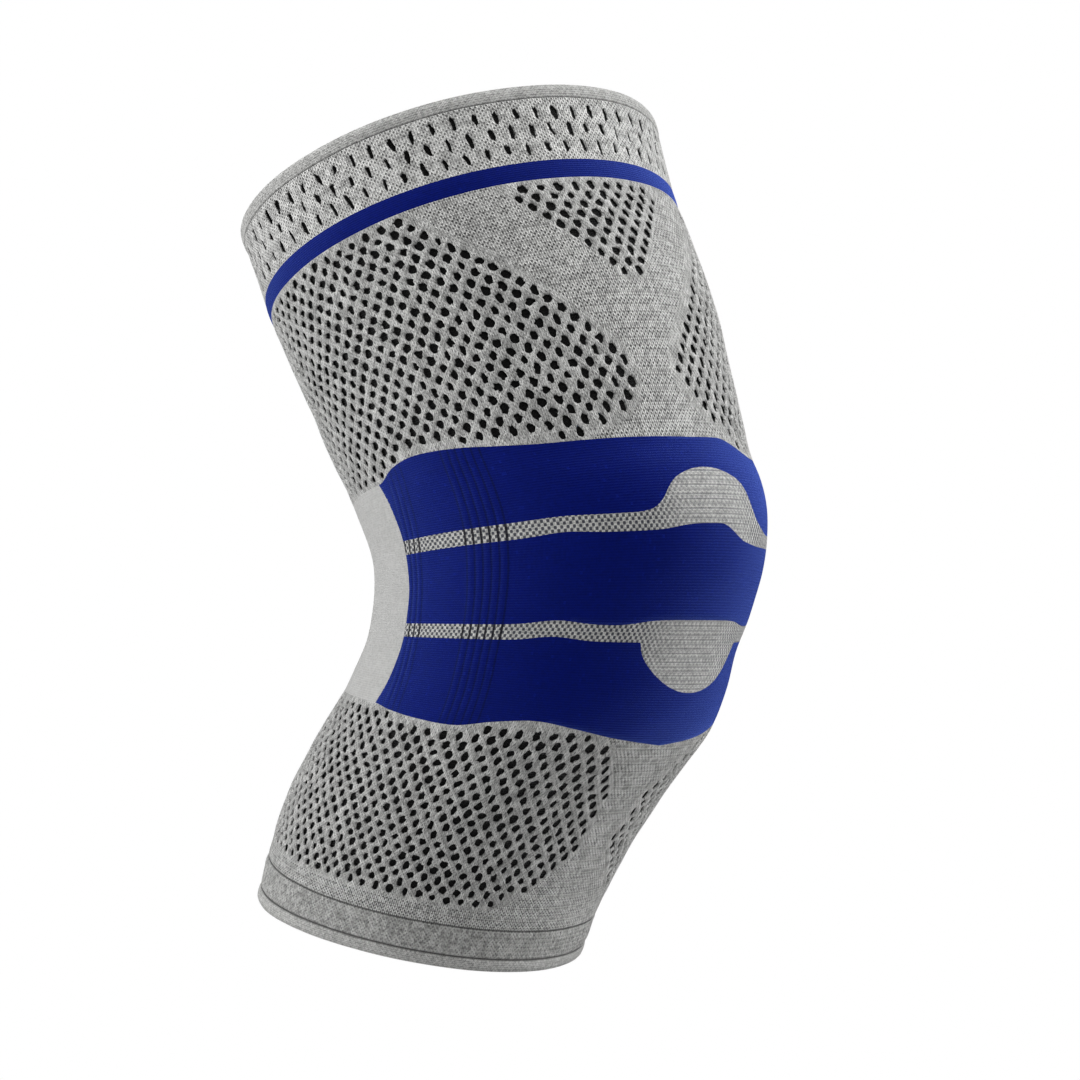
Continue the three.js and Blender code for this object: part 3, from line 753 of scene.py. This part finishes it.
# Edges of the wrap by degrees from the front line, as shares of half its height.
WRAP_EDGES = [
    # degrees, top, foot
    (0, 0.988, 1.056),
    (19, 0.998, 1.004),
    (33, 1.005, 0.947),
    (45, 1.014, 0.909),
    (57, 1.047, 0.947),
    (68, 1.088, 1.009),
    (83, 1.114, 0.995),
    (92, 1.075, 0.967),
    (100, 0.985, 0.930),
    (180, 0.980, 0.930),
]
# Half widths of the yoke as shares of its spread, by the share of the way from the wrap to the stripe.
YOKE_WIDTHS = [
    # place, width
    (0, 0.50),
    (0.035, 0.39),
    (0.065, 0.255),
    (0.1, 0.20),
    (0.135, 0.15),
    (0.2, 0.105),
    (0.3, 0.12),
    (0.38, 0.20),
    (0.58, 0.45),
    (0.73, 0.595),
    (0.865, 0.78),
    (0.96, 0.86),
    (1, 0.93),
]
top_share = curve([(row[0], row[1]) for row in WRAP_EDGES])
foot_share = curve([(row[0], row[2]) for row in WRAP_EDGES])
yoke_share = curve(YOKE_WIDTHS)


def from_front(degrees):
    """Degrees from the front line, the same to either side."""
    return np.abs((np.asarray(degrees, float) + 180) % 360 - 180)


def inner_sag(degrees, start=SAG_START, end=SAG_END):
    """How much of its sag an edge has past the knee cap on its inner side, from 0 to 1."""
    place = (degrees + 180) % 360 - 180
    rise = np.clip((place - start) / (end - start), 0, 1)
    fade = np.clip((SAG_FADE_END - place) / (SAG_FADE_END - SAG_FADE_START), 0, 1)
    return rise * rise * (3 - 2 * rise) * fade * fade * (3 - 2 * fade)


def wrap_top(degrees):
    return top_share(from_front(degrees)) * WRAP_HEIGHT / 2 - WRAP_SAG * inner_sag(degrees)


def wrap_foot(degrees):
    return -foot_share(from_front(degrees)) * WRAP_HEIGHT / 2


def thigh_height(degrees, share):
    """A height in the thigh net, by the share of the way from the wrap to the stripe."""
    low = wrap_top(degrees)
    return low + (stripe_foot - low) * share


def flat_line(degrees, heights):
    """Flat places of a line of the pattern."""
    degrees, heights = np.broadcast_arrays(degrees, heights)
    return np.stack([degrees * FLAT, heights], -1)


def net_outline(half_at, height_at, shift):
    """Border of a net that runs round the back, from one edge of the plain knit in front to the other."""
    shares = np.linspace(0, 1, EDGE_POINTS)
    right_degrees, left_degrees = shift + half_at(shares), 360 + shift - half_at(shares)
    right_edge = flat_line(right_degrees, height_at(right_degrees, shares))
    left_edge = flat_line(left_degrees, height_at(left_degrees, shares))
    near = np.arange(right_degrees[0], left_degrees[0], EDGE_STEP / FLAT)[1:]
    far = np.arange(right_degrees[-1], left_degrees[-1], EDGE_STEP / FLAT)[1:]
    foot, top = flat_line(near, height_at(near, 0)), flat_line(far, height_at(far, 1))
    line = np.concatenate([right_edge[:1], foot, left_edge, top[::-1], right_edge[:0:-1]])
    # A net that hangs below the wrap is met in the other order.
    return line if height_at(180, 1) > height_at(180, 0) else line[::-1]


def eyelets(outline, row_start):
    """Centres, rims and loose points of the eyelets that fit inside an outline."""
    pitch = ROUND / EYELETS_ROUND
    low, high = outline.min(0), outline.max(0)
    rows = np.arange(math.floor(low[1] / EYELET_ROW_PITCH), math.ceil(high[1] / EYELET_ROW_PITCH))
    columns = np.arange(math.floor(low[0] / pitch) - 1, math.ceil(high[0] / pitch) + 1)
    r, c = np.meshgrid(rows, columns, indexing="ij")
    lattice = np.stack([(c + 0.5 * (r % 2)) * pitch, r * EYELET_ROW_PITCH + row_start], -1).reshape(-1, 2)
    clear = inside_by(lattice, outline)
    between = lattice + (pitch / 2, 0)
    between = between[inside_by(between, outline) > NET_MARGIN]
    held = clear > EYELET_RADIUS + NET_MARGIN
    filled = lattice[(clear > NET_MARGIN) & ~held]
    centres = lattice[held]
    x, y = centres.T
    drift_round = EYELET_DRIFT_ROUND * np.sin(0.21 * y + 0.13 * x)
    drift_along = EYELET_DRIFT_ALONG * np.sin(0.17 * x)
    jitter = EYELET_JITTER * rng.uniform(-1, 1, centres.shape)
    centres = centres + np.stack([drift_round, drift_along], -1) + jitter
    room = np.clip(inside_by(centres, outline) - EDGE_ROOM, LEAST_ROOM, EYELET_ROOM)
    half_height = EYELET_RADIUS * EYELET_TALLNESS
    rims = ragged(len(centres), EYELET_RADIUS, half_height, EYELET_UNLIKE, 0, room)
    return centres, rims, np.concatenate([between, filled])


net_look = knit_look(
    "net knit", (0.015, 0.015, 0.014), PALE_YARN,
    wale=ROUND / 288, course=1.5, slant=1.1, relief=0.6, depth=0.42, fleck=0.45,
    fuzz=0.3, gaps=0.45,
)


def net(name, outline, row_start):
    """A zone of eyelet net inside a flat outline."""
    centres, rims, loose = eyelets(outline, row_start)
    return pierced(name, outline, centres, rims, loose, NET_WALL, NET_HEAP, [net_look, inside_painted_shade_look])


def yoke_half(share):
    return yoke_share(share) * YOKE_SPREAD


def notch_half(share):
    return NOTCH_TIP + (share - NOTCH_PLACE) / (1 - NOTCH_PLACE) * (NOTCH_SPREAD - NOTCH_TIP)


thigh_net = net("thigh_net_knit", net_outline(yoke_half, thigh_height, YOKE_SHIFT), THIGH_ROW_START)
worn_as(thigh_net, "thigh_net")

notch_shares = np.linspace(NOTCH_PLACE, 1, NOTCH_POINTS)
notch_right = flat_line(notch_half(notch_shares), thigh_height(notch_half(notch_shares), notch_shares))
notch_top_degrees = np.arange(NOTCH_SPREAD, -NOTCH_SPREAD, -EDGE_STEP / FLAT)[1:]
notch_top = flat_line(notch_top_degrees, stripe_foot)
notch_left = notch_right[::-1] * (-1, 1)
notch_outline = np.concatenate([notch_right, notch_top, notch_left])
notch_net = net("thigh_notch_net_knit", notch_outline, THIGH_ROW_START)
worn_as(notch_net, "thigh_notch_net")


# Thigh yoke
# The plain knit in front of the thigh: a stem rising from the wrap, which forks round the notch net.
PLAIN_WALL, PLAIN_SPACING, PLAIN_MARGIN = 2.0, 2.2, 0.8
plain_look = knit_look(
    "plain knit", (0.03, 0.03, 0.029), PALE_YARN,
    wale=ROUND / 256, course=1.3, slant=0.7, relief=0.4, depth=0.65, fleck=0.35,
    fuzz=0.25, wander=0.15, gaps=0.85,
)
yoke_shares = np.linspace(0, 1, EDGE_POINTS)
yoke_right_degrees = YOKE_SHIFT + yoke_half(yoke_shares)
yoke_left_degrees = (YOKE_SHIFT - yoke_half(yoke_shares))[::-1]
yoke_right = flat_line(yoke_right_degrees, thigh_height(yoke_right_degrees, yoke_shares))
yoke_left = flat_line(yoke_left_degrees, thigh_height(yoke_left_degrees, yoke_shares[::-1]))
right_arm = flat_line(np.arange(yoke_right_degrees[-1], NOTCH_SPREAD, -EDGE_STEP / FLAT)[1:], stripe_foot)
left_arm = flat_line(np.arange(-NOTCH_SPREAD, yoke_left_degrees[0], -EDGE_STEP / FLAT)[1:], stripe_foot)
yoke_foot_degrees = np.arange(yoke_left_degrees[-1], yoke_right_degrees[0], EDGE_STEP / FLAT)[1:]
yoke_foot = flat_line(yoke_foot_degrees, wrap_top(yoke_foot_degrees))
yoke_outline = np.concatenate(
    [yoke_right, right_arm, notch_right[::-1], notch_left[::-1], left_arm, yoke_left, yoke_foot]
)


def plain_zone(name, outline):
    """A zone of plain knit, without pits, inside a flat outline."""
    none = np.zeros((0, 2))
    rims = np.zeros((0, OUTLINE_POINTS, 2))
    loose = loose_points(outline, PLAIN_SPACING, PLAIN_MARGIN)
    return pierced(name, outline, none, rims, loose, PLAIN_WALL, 0, [plain_look, inside_painted_shade_look])


thigh_yoke = plain_zone("thigh_yoke_knit", yoke_outline)
worn_as(thigh_yoke, "thigh_yoke")


# Knee wrap and patella bands
# Three blue bands of dense elastic knit hold the knee, with two thin grey bands between them. Each grey
# band swells into half a disc over the knee cap, and groups of raised ribs run through all five.
WRAP_REACH, WRAP_FLARE = 95.0, 5.0
UPPER_BAND_RISE, UPPER_BAND_HEIGHT, UPPER_BAND_DROOP, UPPER_DISC_HEIGHT = 16.6, 5.0, 1.2, 11.9
LOWER_BAND_DROP, LOWER_BAND_HEIGHT, LOWER_DISC_HEIGHT = 9.1, 4.8, 14.6
BLUE_ROWS, GREY_ROWS, TOP_ROWS = 14, 8, 12
# Rise of the upper half disc by degrees, as shares of its height.
UPPER_DISC_RISE = [
    # degrees, rise
    (-26.0, 0.0),
    (-23.0, 0.03),
    (-20.5, 0.1),
    (-17.5, 0.29),
    (-14.5, 0.57),
    (-11.0, 0.79),
    (-5.0, 0.96),
    (0.5, 1.0),
    (6.5, 0.93),
    (13.0, 0.72),
    (16.0, 0.5),
    (18.5, 0.2),
    (20.5, 0.06),
    (23.0, 0.0),
]
LOWER_DISC_REACH, LOWER_DISC_SHIFT, LOWER_DISC_FULLNESS = 22.6, 3.2, 0.6
CAP_REACH, UPPER_LIFT_REACH, CAP_LIFT = 23.0, 16.0, 1.6
PULL_PLACE, PULL_WIDTH, PULL_LIFT, DISC_PULL, FOOT_PULL = 46.0, 8.0, 1.3, 0.3, 0.7
BAND_SAG, FOOT_SAG, FOOT_SAG_START, FOOT_SAG_END = 5.4, 4.1, 1.0, 13.0
RIB_HEIGHT, RIB_ROUNDNESS, RIB_FADE = 0.16, 0.6, 4
RIB_GROUPS = [
    # middle, pitch, count
    (67.2, 2.35, 5),
    (92.1, 2.3, 3),
]


def wrap_end(height):
    return WRAP_REACH + WRAP_FLARE * (2 * height / WRAP_HEIGHT) ** 2


upper_disc = curve(UPPER_DISC_RISE)


def lower_disc(degrees):
    """Drop of the lower half disc, from 0 to 1, which is round at its corners too."""
    away = np.minimum(np.abs(degrees - LOWER_DISC_SHIFT) / LOWER_DISC_REACH, 1)
    return np.maximum(np.cos(away * math.pi / 2), 0) ** LOWER_DISC_FULLNESS


def droop(degrees):
    return UPPER_BAND_DROOP * np.minimum(np.abs(degrees) / WRAP_REACH, 1) ** 3


def pull(degrees):
    """Where the bent knee draws the bands a little upwards."""
    return PULL_LIFT * np.exp(-(((np.abs(degrees) - PULL_PLACE) / PULL_WIDTH) ** 2))


def upper_disc_edge(degrees):
    swell = UPPER_DISC_HEIGHT * upper_disc(degrees) + DISC_PULL * pull(degrees)
    return UPPER_BAND_RISE + UPPER_BAND_HEIGHT - droop(degrees) - BAND_SAG * inner_sag(degrees) + swell


def upper_band_foot(degrees):
    lift = CAP_LIFT * np.exp(-((degrees / UPPER_LIFT_REACH) ** 4))
    sag = FOOT_SAG * inner_sag(degrees, FOOT_SAG_START, FOOT_SAG_END)
    return UPPER_BAND_RISE - droop(degrees) - sag + FOOT_PULL * pull(degrees) + lift


def lower_band_top(degrees):
    return -LOWER_BAND_DROP + pull(degrees) + CAP_LIFT * np.exp(-((degrees / CAP_REACH) ** 6))


def lower_disc_edge(degrees):
    swell = LOWER_DISC_HEIGHT * lower_disc(degrees) - pull(degrees)
    return -LOWER_BAND_DROP - LOWER_BAND_HEIGHT - swell


def ribs(degrees, height):
    """Raised ribs, sunk between, in groups on each side of the wrap."""
    away = np.abs(degrees)
    rise = np.zeros_like(degrees, dtype=float)
    for middle, pitch, count in RIB_GROUPS:
        along = (away - middle) / pitch + count / 2
        wave = 0.5 - 0.5 * np.cos(2 * math.pi * along)
        rise += np.where((along > 0) & (along < count), wave**RIB_ROUNDNESS, 0)
    room = np.minimum(wrap_top(degrees) - height, height - wrap_foot(degrees))
    return RIB_HEIGHT * rise * np.clip(room / RIB_FADE, 0, 1)


# Columns of the bands in degrees: even ones, six more to each rib, and finer ones over the knee cap. One
# that is too near another, or the end of the wrap, is left out.
COLUMN_PITCH, RIB_COLUMNS = 1.4, 6
CAP_COLUMN_PITCH, CAP_COLUMN_REACH = 0.4, 28
LEAST_COLUMN_GAP, END_GAP = 0.12, 0.5
side_columns = [np.arange(0, WRAP_REACH, COLUMN_PITCH)]
for middle, pitch, count in RIB_GROUPS:
    start = middle - count / 2 * pitch
    side_columns.append(np.linspace(start, start + count * pitch, RIB_COLUMNS * count + 1))
side_columns.append(np.arange(0, CAP_COLUMN_REACH, CAP_COLUMN_PITCH))
side_columns = np.unique(np.concatenate(side_columns))
side_columns = side_columns[np.concatenate([[True], np.diff(side_columns) > LEAST_COLUMN_GAP])]
side_columns = side_columns[side_columns < WRAP_REACH - END_GAP]
wrap_columns = np.concatenate([-side_columns[:0:-1], side_columns])
wrap_columns = np.concatenate([[-WRAP_REACH], wrap_columns, [WRAP_REACH]])


def open_zone(name, degrees, heights, relief, wall, looks):
    """A zone that ends in two sides, from the grid of its outer face and the relief on it."""
    swell = unevenness(degrees, heights)
    outsides = np.concatenate([swell + relief, (swell - wall)[::-1]])
    degrees, heights = (np.concatenate([grid, grid[::-1]]) for grid in (degrees, heights))
    return knit_grid(name, degrees, heights, outsides, looks, closed=False)


def wrap_band(name, over, under, rows, wall, looks):
    """One band of the wrap, between its upper and its lower edge."""
    shares = np.linspace(0, 1, rows)[:, None]
    columns = np.broadcast_to(wrap_columns, (rows, len(wrap_columns)))
    heights = under(wrap_columns) + (over(wrap_columns) - under(wrap_columns)) * shares
    degrees = columns * wrap_end(heights) / WRAP_REACH
    heights = under(degrees) + (over(degrees) - under(degrees)) * shares
    return open_zone(name, degrees, heights, ribs(degrees, heights), wall, looks)


# Two colours of yarn make the grey bands: dark dots in a staggered lattice on grey, which thin out over
# the knee cap, where the courses show as lines.
DOT_PITCH, DOTS_START, DOTS_FULL, LEAST_DOTS = ROUND / 216, 6 * FLAT, 24 * FLAT, 0.35
CAP_COURSE, LINES_FULL, LINES_END, MOST_LINES = 1.3, 8 * FLAT, 20 * FLAT, 0.5
MARK_STRENGTH, MARK_SHADE = 0.9, (0.02, 0.025, 0.045)
patella_look, tree, shader = start_look("patella knit", GREY_ROUGHNESS, GREY_SHEEN)
across, along = flat_place(tree)
knit = place_group(tree, stitches, Wale=ROUND / 432, Course=0.8, Slant=0.4, Wander=0.2)
shade = yarn_tone_and_hollow_shade(tree, knit, depth=0.45, fleck=0.3, fuzz=0.35, drift=GREY_DRIFT)
ground = blend_colours(tree, shade, (0.04, 0.04, 0.04), (0.86, 0.86, 0.84))
off_cap = rescale(tree, reckon(tree, "ABSOLUTE", across), DOTS_START, DOTS_FULL, LEAST_DOTS, 1.0)
dot_mask = reckon(tree, "MULTIPLY", lattice_dots(tree, DOT_PITCH, -0.2, 0.4), off_cap)
lines = reckon(tree, "COSINE", reckon(tree, "MULTIPLY", along, 2 * math.pi / CAP_COURSE))
on_cap = rescale(tree, reckon(tree, "ABSOLUTE", across), LINES_FULL, LINES_END, MOST_LINES, 0.0)
line_mask = reckon(tree, "MULTIPLY", rescale(tree, lines, 0.2, 0.9), on_cap)

# Rib grooves: dark lines between raised ribs, in a group on each side of the wrap.
grooves, given, result = node_group(
    "rib grooves", [("Middle", 67.2), ("Pitch", 2.35), ("Count", 5), ("Narrow", 0.5)], ["Mask"]
)
away = reckon(grooves, "DIVIDE", reckon(grooves, "ABSOLUTE", flat_place(grooves)[0]), FLAT)
steps = reckon(grooves, "DIVIDE", reckon(grooves, "SUBTRACT", away, given["Middle"]), given["Pitch"])
half_count = reckon(grooves, "MULTIPLY", given["Count"], 0.5)
wave = reckon(grooves, "MULTIPLY", reckon(grooves, "ADD", steps, half_count), 2 * math.pi)
wave = reckon(grooves, "SUBTRACT", reckon(grooves, "COSINE", wave), given["Narrow"])
past = reckon(grooves, "SUBTRACT", reckon(grooves, "ABSOLUTE", steps), half_count)
within = rescale(grooves, past, 0.2, 0.25, 1.0, 0.0)
grooves.links.new(reckon(grooves, "MULTIPLY", rescale(grooves, wave, 0.0, 0.35), within), result["Mask"])


def groove_mask(tree, narrow):
    """Both groups of grooves."""
    masks = [
        place_group(tree, grooves, Middle=middle, Pitch=pitch, Count=float(count), Narrow=narrow)["Mask"]
        for middle, pitch, count in RIB_GROUPS
    ]
    return reckon(tree, "MAXIMUM", *masks)


marks = reckon(tree, "MAXIMUM", dot_mask, line_mask)
marked = blend_colours(tree, reckon(tree, "MULTIPLY", marks, MARK_STRENGTH), ground, MARK_SHADE)
barred = blend_colours(tree, groove_mask(tree, 0.4), marked, (0.006, 0.006, 0.012))
tree.links.new(barred, shader["Base Color"])
raise_bump(tree, shader, reckon(tree, "SUBTRACT", knit["Height"], marks), 0.2)

# On the blue bands the grooves between ribs are painted darker: painted shade in the sunk grooves.
tree = blue_look.node_tree
shader = tree.nodes["Principled BSDF"].inputs
plain_blue = shader["Base Color"].links[0].from_socket
sunk = reckon(tree, "MULTIPLY", groove_mask(tree, 0.5), 0.65)
tree.links.new(blend_colours(tree, sunk, plain_blue, (0.0015, 0.003, 0.03)), shader["Base Color"])

BANDS = [
    # node, upper edge, lower edge, rows
    ("knee_band_upper", wrap_top, upper_disc_edge, TOP_ROWS),
    ("patella_band_upper", upper_disc_edge, upper_band_foot, GREY_ROWS),
    ("knee_band_middle", upper_band_foot, lower_band_top, BLUE_ROWS),
    ("patella_band_lower", lower_band_top, lower_disc_edge, GREY_ROWS),
    ("knee_band_lower", lower_disc_edge, wrap_foot, BLUE_ROWS),
]
for node, over, under, rows in BANDS:
    if node.startswith("knee"):
        band = wrap_band(node + "_knit", over, under, rows, BAND_WALL, [blue_look, inside_painted_shade_look])
        worn_as(band, node)
    else:
        band = wrap_band(node + "_knit", over, under, rows, PLAIN_WALL, [patella_look, inside_painted_shade_look])
        worn_as(band, node)


# Hollow panel
# The smooth soft panel in the hollow of the knee, between the two ends of the wrap.
HOLLOW_ROWS, HOLLOW_COLUMNS = 44, 76
smooth_look = knit_look(
    "smooth knit", (0.2, 0.2, 0.195), (0.61, 0.61, 0.6),
    wale=ROUND / 432, course=0.9, slant=0.6, relief=0.1, depth=0.35, fleck=0.2, fuzz=0.3,
)
shares = np.linspace(0, 1, HOLLOW_ROWS)[:, None]
around = np.linspace(0, 1, HOLLOW_COLUMNS)[None]
heights = (2 * shares - 1) * WRAP_HEIGHT / 2
# Its sides follow the ends of the wrap, which flare with height, and its height follows from its sides.
for _ in range(2):
    start = wrap_end(heights)
    degrees = start + (360 - 2 * start) * around
    heights = wrap_foot(degrees) + (wrap_top(degrees) - wrap_foot(degrees)) * shares
hollow_panel = open_zone("hollow_panel_knit", degrees, heights, 0, PLAIN_WALL, [smooth_look, inside_painted_shade_look])
worn_as(hollow_panel, "hollow_panel")


# Calf net and shin strap
# The calf has the same eyelet net, and a plain strap runs down the shin from the wrap to the ring.
CALF_HEM_HEIGHT, RIBBED_HEIGHT, PLAIN_RING_HEIGHT = 5.3, 11.9, 7.2
STRAP_SPREAD, STRAP_SHIFT, CALF_ROW_START = 34.0, 2.0, 1.0
STRAP_WIDTHS = [
    # place, width
    (0, 0.68),
    (0.07, 0.53),
    (0.16, 0.40),
    (0.25, 0.245),
    (0.38, 0.23),
    (0.5, 0.19),
    (0.61, 0.205),
    (0.72, 0.35),
    (0.83, 0.53),
    (0.93, 0.71),
    (1, 1.0),
]
calf_hem_top = -CALF_LENGTH + CALF_HEM_HEIGHT
ribbed_top = calf_hem_top + RIBBED_HEIGHT
calf_net_foot = ribbed_top + PLAIN_RING_HEIGHT
strap_share = curve(STRAP_WIDTHS)


def calf_height(degrees, share):
    """A height in the calf net, by the share of the way from the wrap to the ring."""
    high = wrap_foot(degrees)
    return high + (calf_net_foot - high) * share


def strap_half(share):
    return strap_share(share) * STRAP_SPREAD


calf_net = net("calf_net_knit", net_outline(strap_half, calf_height, STRAP_SHIFT), CALF_ROW_START)
worn_as(calf_net, "calf_net")

strap_shares = np.linspace(0, 1, EDGE_POINTS)
strap_right_degrees = (STRAP_SHIFT + strap_half(strap_shares))[::-1]
strap_left_degrees = STRAP_SHIFT - strap_half(strap_shares)
strap_right = flat_line(strap_right_degrees, calf_height(strap_right_degrees, strap_shares[::-1]))
strap_left = flat_line(strap_left_degrees, calf_height(strap_left_degrees, strap_shares))
strap_top_degrees = np.arange(strap_right_degrees[-1], strap_left_degrees[0], -EDGE_STEP / FLAT)[1:]
strap_top = flat_line(strap_top_degrees, wrap_foot(strap_top_degrees))
strap_foot_degrees = np.arange(strap_left_degrees[-1], strap_right_degrees[0], EDGE_STEP / FLAT)[1:]
strap_foot = flat_line(strap_foot_degrees, calf_net_foot)
strap_outline = np.concatenate([strap_right, strap_top, strap_left, strap_foot])
calf_strap = plain_zone("calf_strap_knit", strap_outline)
worn_as(calf_strap, "calf_strap")


# Calf ring, calf cuff and calf hem
# The foot of the tube: a plain ring under the net, a faintly ribbed band between two linked grooves, and
# the turned bottom edge.
RING_ROWS = (0, 0.04, 0.08, 0.14, 0.2, 0.35, 0.5, 0.75, 1)
RIBBED_ROWS = (0, 0.03, 0.06, 0.12, 0.2, 0.3, 0.4, 0.5, 0.6, 0.7, 0.8, 0.88, 0.94, 0.97, 1)
RIBBED_FULLNESS, RIBBED_DRAW, DRAW_FADE = 0.15, 0.6, 2
RIBS_ROUND, FAINT_RIB = 2 * EYELETS_ROUND, 0.12
PUCKERS_ROUND, PUCKER_LEAN, PUCKER_PATCHES, PUCKER_HEIGHT = 31, 0.5, 7, 0.16


def drawn_in(foot, height, rows, fullness, draw, reach, both):
    """Rows of a band that is drawn in at its linked foot, or at both edges."""
    profile = []
    for share in rows:
        away = min(share, 1 - share) if both else share
        profile.append((foot + height * share, fullness - draw * math.exp(-((away / reach) ** 2))))
    return profile


calf_ring = knit_ring(
    "calf_ring_knit",
    drawn_in(ribbed_top, PLAIN_RING_HEIGHT, RING_ROWS, 0, GROOVE_DEPTH, 0.08, both=False),
    PLAIN_WALL,
    [plain_look, inside_painted_shade_look],
)
worn_as(calf_ring, "calf_ring")


def cuff_ribs(degrees, height):
    """Faint upright ribs, two to each eyelet column, and the puckers of a band drawn in at both edges."""
    inside = np.clip(np.minimum(height - calf_hem_top, ribbed_top - height) / DRAW_FADE, 0, 1)
    pucker = np.sin(np.radians(degrees * PUCKERS_ROUND) + PUCKER_LEAN * height)
    pucker = pucker * np.sin(np.radians(degrees * PUCKER_PATCHES) + 1)
    return (FAINT_RIB * np.cos(np.radians(degrees * RIBS_ROUND)) + PUCKER_HEIGHT * pucker) * inside


rib_look = knit_look(
    "ribbed knit", (0.07, 0.07, 0.068), (0.88, 0.88, 0.86),
    wale=ROUND / 360, course=1.7, slant=0.4, relief=0.6, depth=0.5, fleck=0.45,
    fuzz=0.3, wander=0.5, gaps=0.5,
)
for look in (hem_look, plain_look, rib_look):
    for groove_height in (calf_hem_top, ribbed_top):
        paint_groove_shade(look, groove_height)

calf_cuff = knit_ring(
    "calf_cuff_knit",
    drawn_in(calf_hem_top, RIBBED_HEIGHT, RIBBED_ROWS, RIBBED_FULLNESS, RIBBED_DRAW, 0.05, both=True),
    BAND_WALL,
    [rib_look, inside_painted_shade_look],
    relief=cuff_ribs,
    steps=4 * RIBS_ROUND,
)
worn_as(calf_cuff, "calf_cuff")

calf_hem = knit_ring(
    "calf_hem_knit", hem_profile(calf_hem_top, -CALF_LENGTH, -1), HEM_WALL, [hem_look, inside_painted_shade_look]
)
worn_as(calf_hem, "calf_hem")


# Studio
# A pale floor that curves up all round, soft lights to both sides and above, and the photograph's view.
BOWL_RADIUS, BOWL_BEND, BOWL_HEIGHT, FLOOR = 2.0, 0.8, 3.4, -0.22
BOWL_TURNS, BOWL_ANGLES = 96, np.arange(7.5, 91, 7.5)
bowl_profile = [(0.0, 0.0), (BOWL_RADIUS - BOWL_BEND, 0.0)]
for angle in np.radians(BOWL_ANGLES):
    radius = BOWL_RADIUS - BOWL_BEND + BOWL_BEND * math.sin(angle)
    bowl_profile.append((radius, BOWL_BEND * (1 - math.cos(angle))))
bowl_profile.append((BOWL_RADIUS, BOWL_HEIGHT))
bowl_turns = np.linspace(0, 2 * math.pi, BOWL_TURNS + 1)[:-1]
bowl_points = [(0.0, 0.0, FLOOR)]
bowl_faces = []
for radius, height in bowl_profile[1:]:
    bowl_points += [(radius * math.cos(t), radius * math.sin(t), FLOOR + height) for t in bowl_turns]
for k in range(BOWL_TURNS):
    bowl_faces.append((0, 1 + k, 1 + (k + 1) % BOWL_TURNS))
for ring_number in range(len(bowl_profile) - 2):
    low = 1 + ring_number * BOWL_TURNS
    high = low + BOWL_TURNS
    for k in range(BOWL_TURNS):
        after = (k + 1) % BOWL_TURNS
        bowl_faces.append((low + k, high + k, high + after, low + after))
bowl_mesh = bpy.data.meshes.new("studio_floor")
bowl_mesh.from_pydata(bowl_points, [], bowl_faces)
bowl_mesh.shade_smooth()
bowl = bpy.data.objects.new("studio_floor", bowl_mesh)
bpy.context.scene.collection.objects.link(bowl)
bowl_look = bpy.data.materials.new("studio paper")
bowl_look.use_nodes = True
tree = bowl_look.node_tree
paper = tree.nodes["Principled BSDF"]
paper.inputs["Base Color"].default_value = (0.5, 0.5, 0.5, 1)
paper.inputs["Roughness"].default_value = 1
glow = tree.nodes.new("ShaderNodeEmission")
glow.inputs["Strength"].default_value = 1.0
sight = tree.nodes.new("ShaderNodeLightPath")
mix = tree.nodes.new("ShaderNodeMixShader")
tree.links.new(sight.outputs["Is Camera Ray"], mix.inputs[0])
tree.links.new(paper.outputs[0], mix.inputs[1])
tree.links.new(glow.outputs[0], mix.inputs[2])
tree.links.new(mix.outputs[0], tree.nodes["Material Output"].inputs["Surface"])
bowl_mesh.materials.append(bowl_look)

WORLD_STRENGTH = 0.34
world = bpy.data.worlds.new("studio")
bpy.context.scene.world = world
world.use_nodes = True
world.node_tree.nodes["Background"].inputs["Color"].default_value = (1, 1, 1, 1)
world.node_tree.nodes["Background"].inputs["Strength"].default_value = WORLD_STRENGTH
bpy.context.scene.view_settings.view_transform = "Standard"

CAMERA_TURN, CAMERA_RISE = math.radians(44.08), math.radians(-1.64)
CAMERA_DISTANCE, CAMERA_LENS = 1.2886, 122.5
AIM_RIGHT, AIM_UP = -0.0051, 0.0207
back = Vector(
    (
        -math.cos(CAMERA_TURN) * math.cos(CAMERA_RISE),
        -math.sin(CAMERA_TURN) * math.cos(CAMERA_RISE),
        math.sin(CAMERA_RISE),
    )
)
right = Vector((math.sin(CAMERA_TURN), -math.cos(CAMERA_TURN), 0))
up = back.cross(right)
aim = right * AIM_RIGHT + up * AIM_UP
camera_data = bpy.data.cameras.new("camera")
camera_data.lens = CAMERA_LENS
camera_data.clip_start, camera_data.clip_end = 0.05, 20
camera = bpy.data.objects.new("camera", camera_data)
camera.location = aim + back * CAMERA_DISTANCE
camera.rotation_mode = "QUATERNION"
camera.rotation_quaternion = (-back).to_track_quat("-Z", "Y")
bpy.context.scene.collection.objects.link(camera)
bpy.context.scene.camera = camera

LIGHTS = [
    # name, sideways, towards the camera, up, size, power
    ("left_softbox", -1.0, 0.1, 0.05, 0.8, 9.5),
    ("right_softbox", 1.0, -0.1, 0.3, 0.8, 9),
    ("top_softbox", 0.0, 0.1, 1.1, 0.8, 7),
    ("front_softbox", 0.2, 1.1, 0.8, 0.8, 3),
]
for name, sideways, towards, height, size, power in LIGHTS:
    light_data = bpy.data.lights.new(name, "AREA")
    light_data.size = size
    light_data.energy = power
    light = bpy.data.objects.new(name, light_data)
    light.location = aim + right * sideways + back * towards + Vector((0, 0, height))
    light.rotation_mode = "QUATERNION"
    light.rotation_quaternion = (aim - light.location).to_track_quat("-Z", "Y")
    light.visible_camera = False
    bpy.context.scene.collection.objects.link(light)
